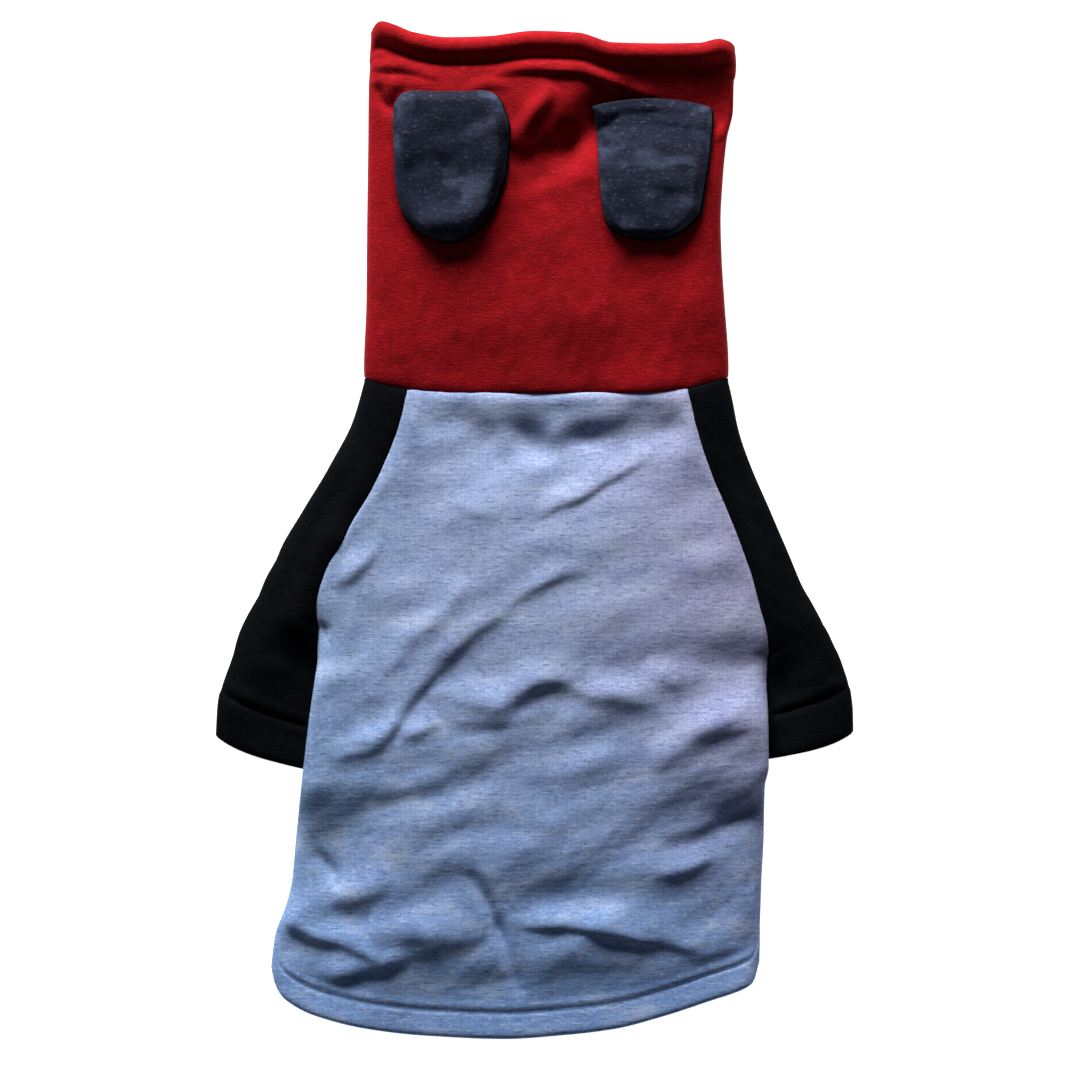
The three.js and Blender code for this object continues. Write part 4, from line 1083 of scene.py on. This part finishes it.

# %% [markdown]
# ## Give each piece its fabric
# Each cloth takes its fabric, rides on the one body of the part, and stands for the measured
# piece it was drawn over, which is hidden.

# %% Dress the pieces
pieces = [
    # piece, measured piece, material, slot, flat size and area in metres, what it lies on
    (hood, "hood", red_fleece, "red_fleece", (0.37, 0.2), 0.0735, ["chest_panel"]),
    (back, "back_panel", pale_blue, "pale_blue_melange", (0.27, 0.33), 0.0715, ["chest_panel"]),
    (chest, "chest_panel", pale_blue, "pale_blue_melange", (0.27, 0.33), 0.071, ["floor"]),
    (sleeve_left, "sleeve_left", black_fleece, "black_fleece", (0.14, 0.21), 0.0185, ["floor"]),
    (sleeve_right, "sleeve_right", black_fleece, "black_fleece", (0.14, 0.21), 0.0155, ["floor"]),
    (ear_left_back, "ear_left_back", black_fleece, "black_fleece", (0.06, 0.077), 0.004, [hood]),
    (ear_left_front, "ear_left_front", dark_blue, "dark_blue_melange", (0.059, 0.077), 0.0041,
     [ear_left_back]),
    (ear_right_back, "ear_right_back", black_fleece, "black_fleece", (0.06, 0.068), 0.0039, [hood]),
    (ear_right_front, "ear_right_front", dark_blue, "dark_blue_melange", (0.059, 0.068), 0.0038,
     [ear_right_back]),
]
threads = {"hood": [hood_stitches], "back_panel": [tail_stitches]}
for piece, node, material, slot, flat, area, under in pieces:
    for thing in [piece, *threads.get(node, [])]:
        thing.data.materials.append(material)
        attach(thing, "root")
    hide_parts(node)

# %% [markdown]
# ## Light, floor and camera
# The camera looks straight down with a long lens, as the photograph was taken. One broad lamp
# stands beyond the hood, low enough to rake across the creases. A weak blue sky fills the
# shadows, and a white backdrop that only the camera sees stands behind the floor, so that the
# views from the side have an even ground without more light on the cloth.

# %% Light, floor and camera
floor_half = 4
corners = [(x * floor_half, y * floor_half, 0) for x, y in ((-1, -1), (1, -1), (1, 1), (-1, 1))]
floor_mesh = bpy.data.meshes.new("floor")
floor_mesh.from_pydata(corners, [], [(0, 1, 2, 3)])
floor = add_object("floor", floor_mesh)
floor.location.z = -0.0003  # just clear of the cloth, so that the two never share a plane
floor_paint = bpy.data.materials.new("pale_floor")
floor_paint.use_nodes = True
paper = floor_paint.node_tree.nodes["Principled BSDF"]
paper.inputs["Base Color"].default_value = (0.86, 0.86, 0.86, 1)
paper.inputs["Roughness"].default_value = 0.9
paper.inputs["Specular IOR Level"].default_value = 0.1
paper.inputs["Emission Color"].default_value = (1, 1, 1, 1)
paper.inputs["Emission Strength"].default_value = 1.0
floor_mesh.materials.append(floor_paint)

lamp_data = bpy.data.lights.new("window", "AREA")
lamp_data.shape = "RECTANGLE"
lamp_data.size, lamp_data.size_y = 1.4, 0.6
lamp_data.energy = 117
lamp_data.color = (1.0, 0.99, 0.975)
lamp = add_object("window", lamp_data)
lamp.location = (-0.35, 2.0, 0.61)
lamp.rotation_euler = lamp.location.to_track_quat("Z", "Y").to_euler()

world = bpy.data.worlds.new("room")
world.use_nodes = True
room = world.node_tree
sky = room.nodes["Background"]
sky.inputs["Color"].default_value = (0.78, 0.88, 1.0, 1)
sky.inputs["Strength"].default_value = 0.06
backdrop = shader_node(room, "Background", {"Color": (1, 1, 1, 1), "Strength": 1.0})
seen = shader_node(room, "LightPath").outputs["Is Camera Ray"]
surround = shader_node(room, "MixShader", {0: seen, 1: sky.outputs[0], 2: backdrop.outputs[0]})
room.links.new(surround.outputs[0], room.nodes["World Output"].inputs["Surface"])

distance, seen_width, half_height, sensor = 2.2, 0.54, 0.012, 36
camera_data = bpy.data.cameras.new("camera")
camera_data.lens = sensor * (distance - half_height) / seen_width
camera_data.clip_end = 30
camera = add_object("camera", camera_data)
camera.location = (0.0028, -0.0050, distance)

scene = bpy.context.scene
scene.world = world
scene.camera = camera
scene.view_settings.view_transform = "Standard"
scene.view_settings.look = "None"
print("lens", round(camera_data.lens, 1), "mm, lamp", lamp_data.energy, "W")
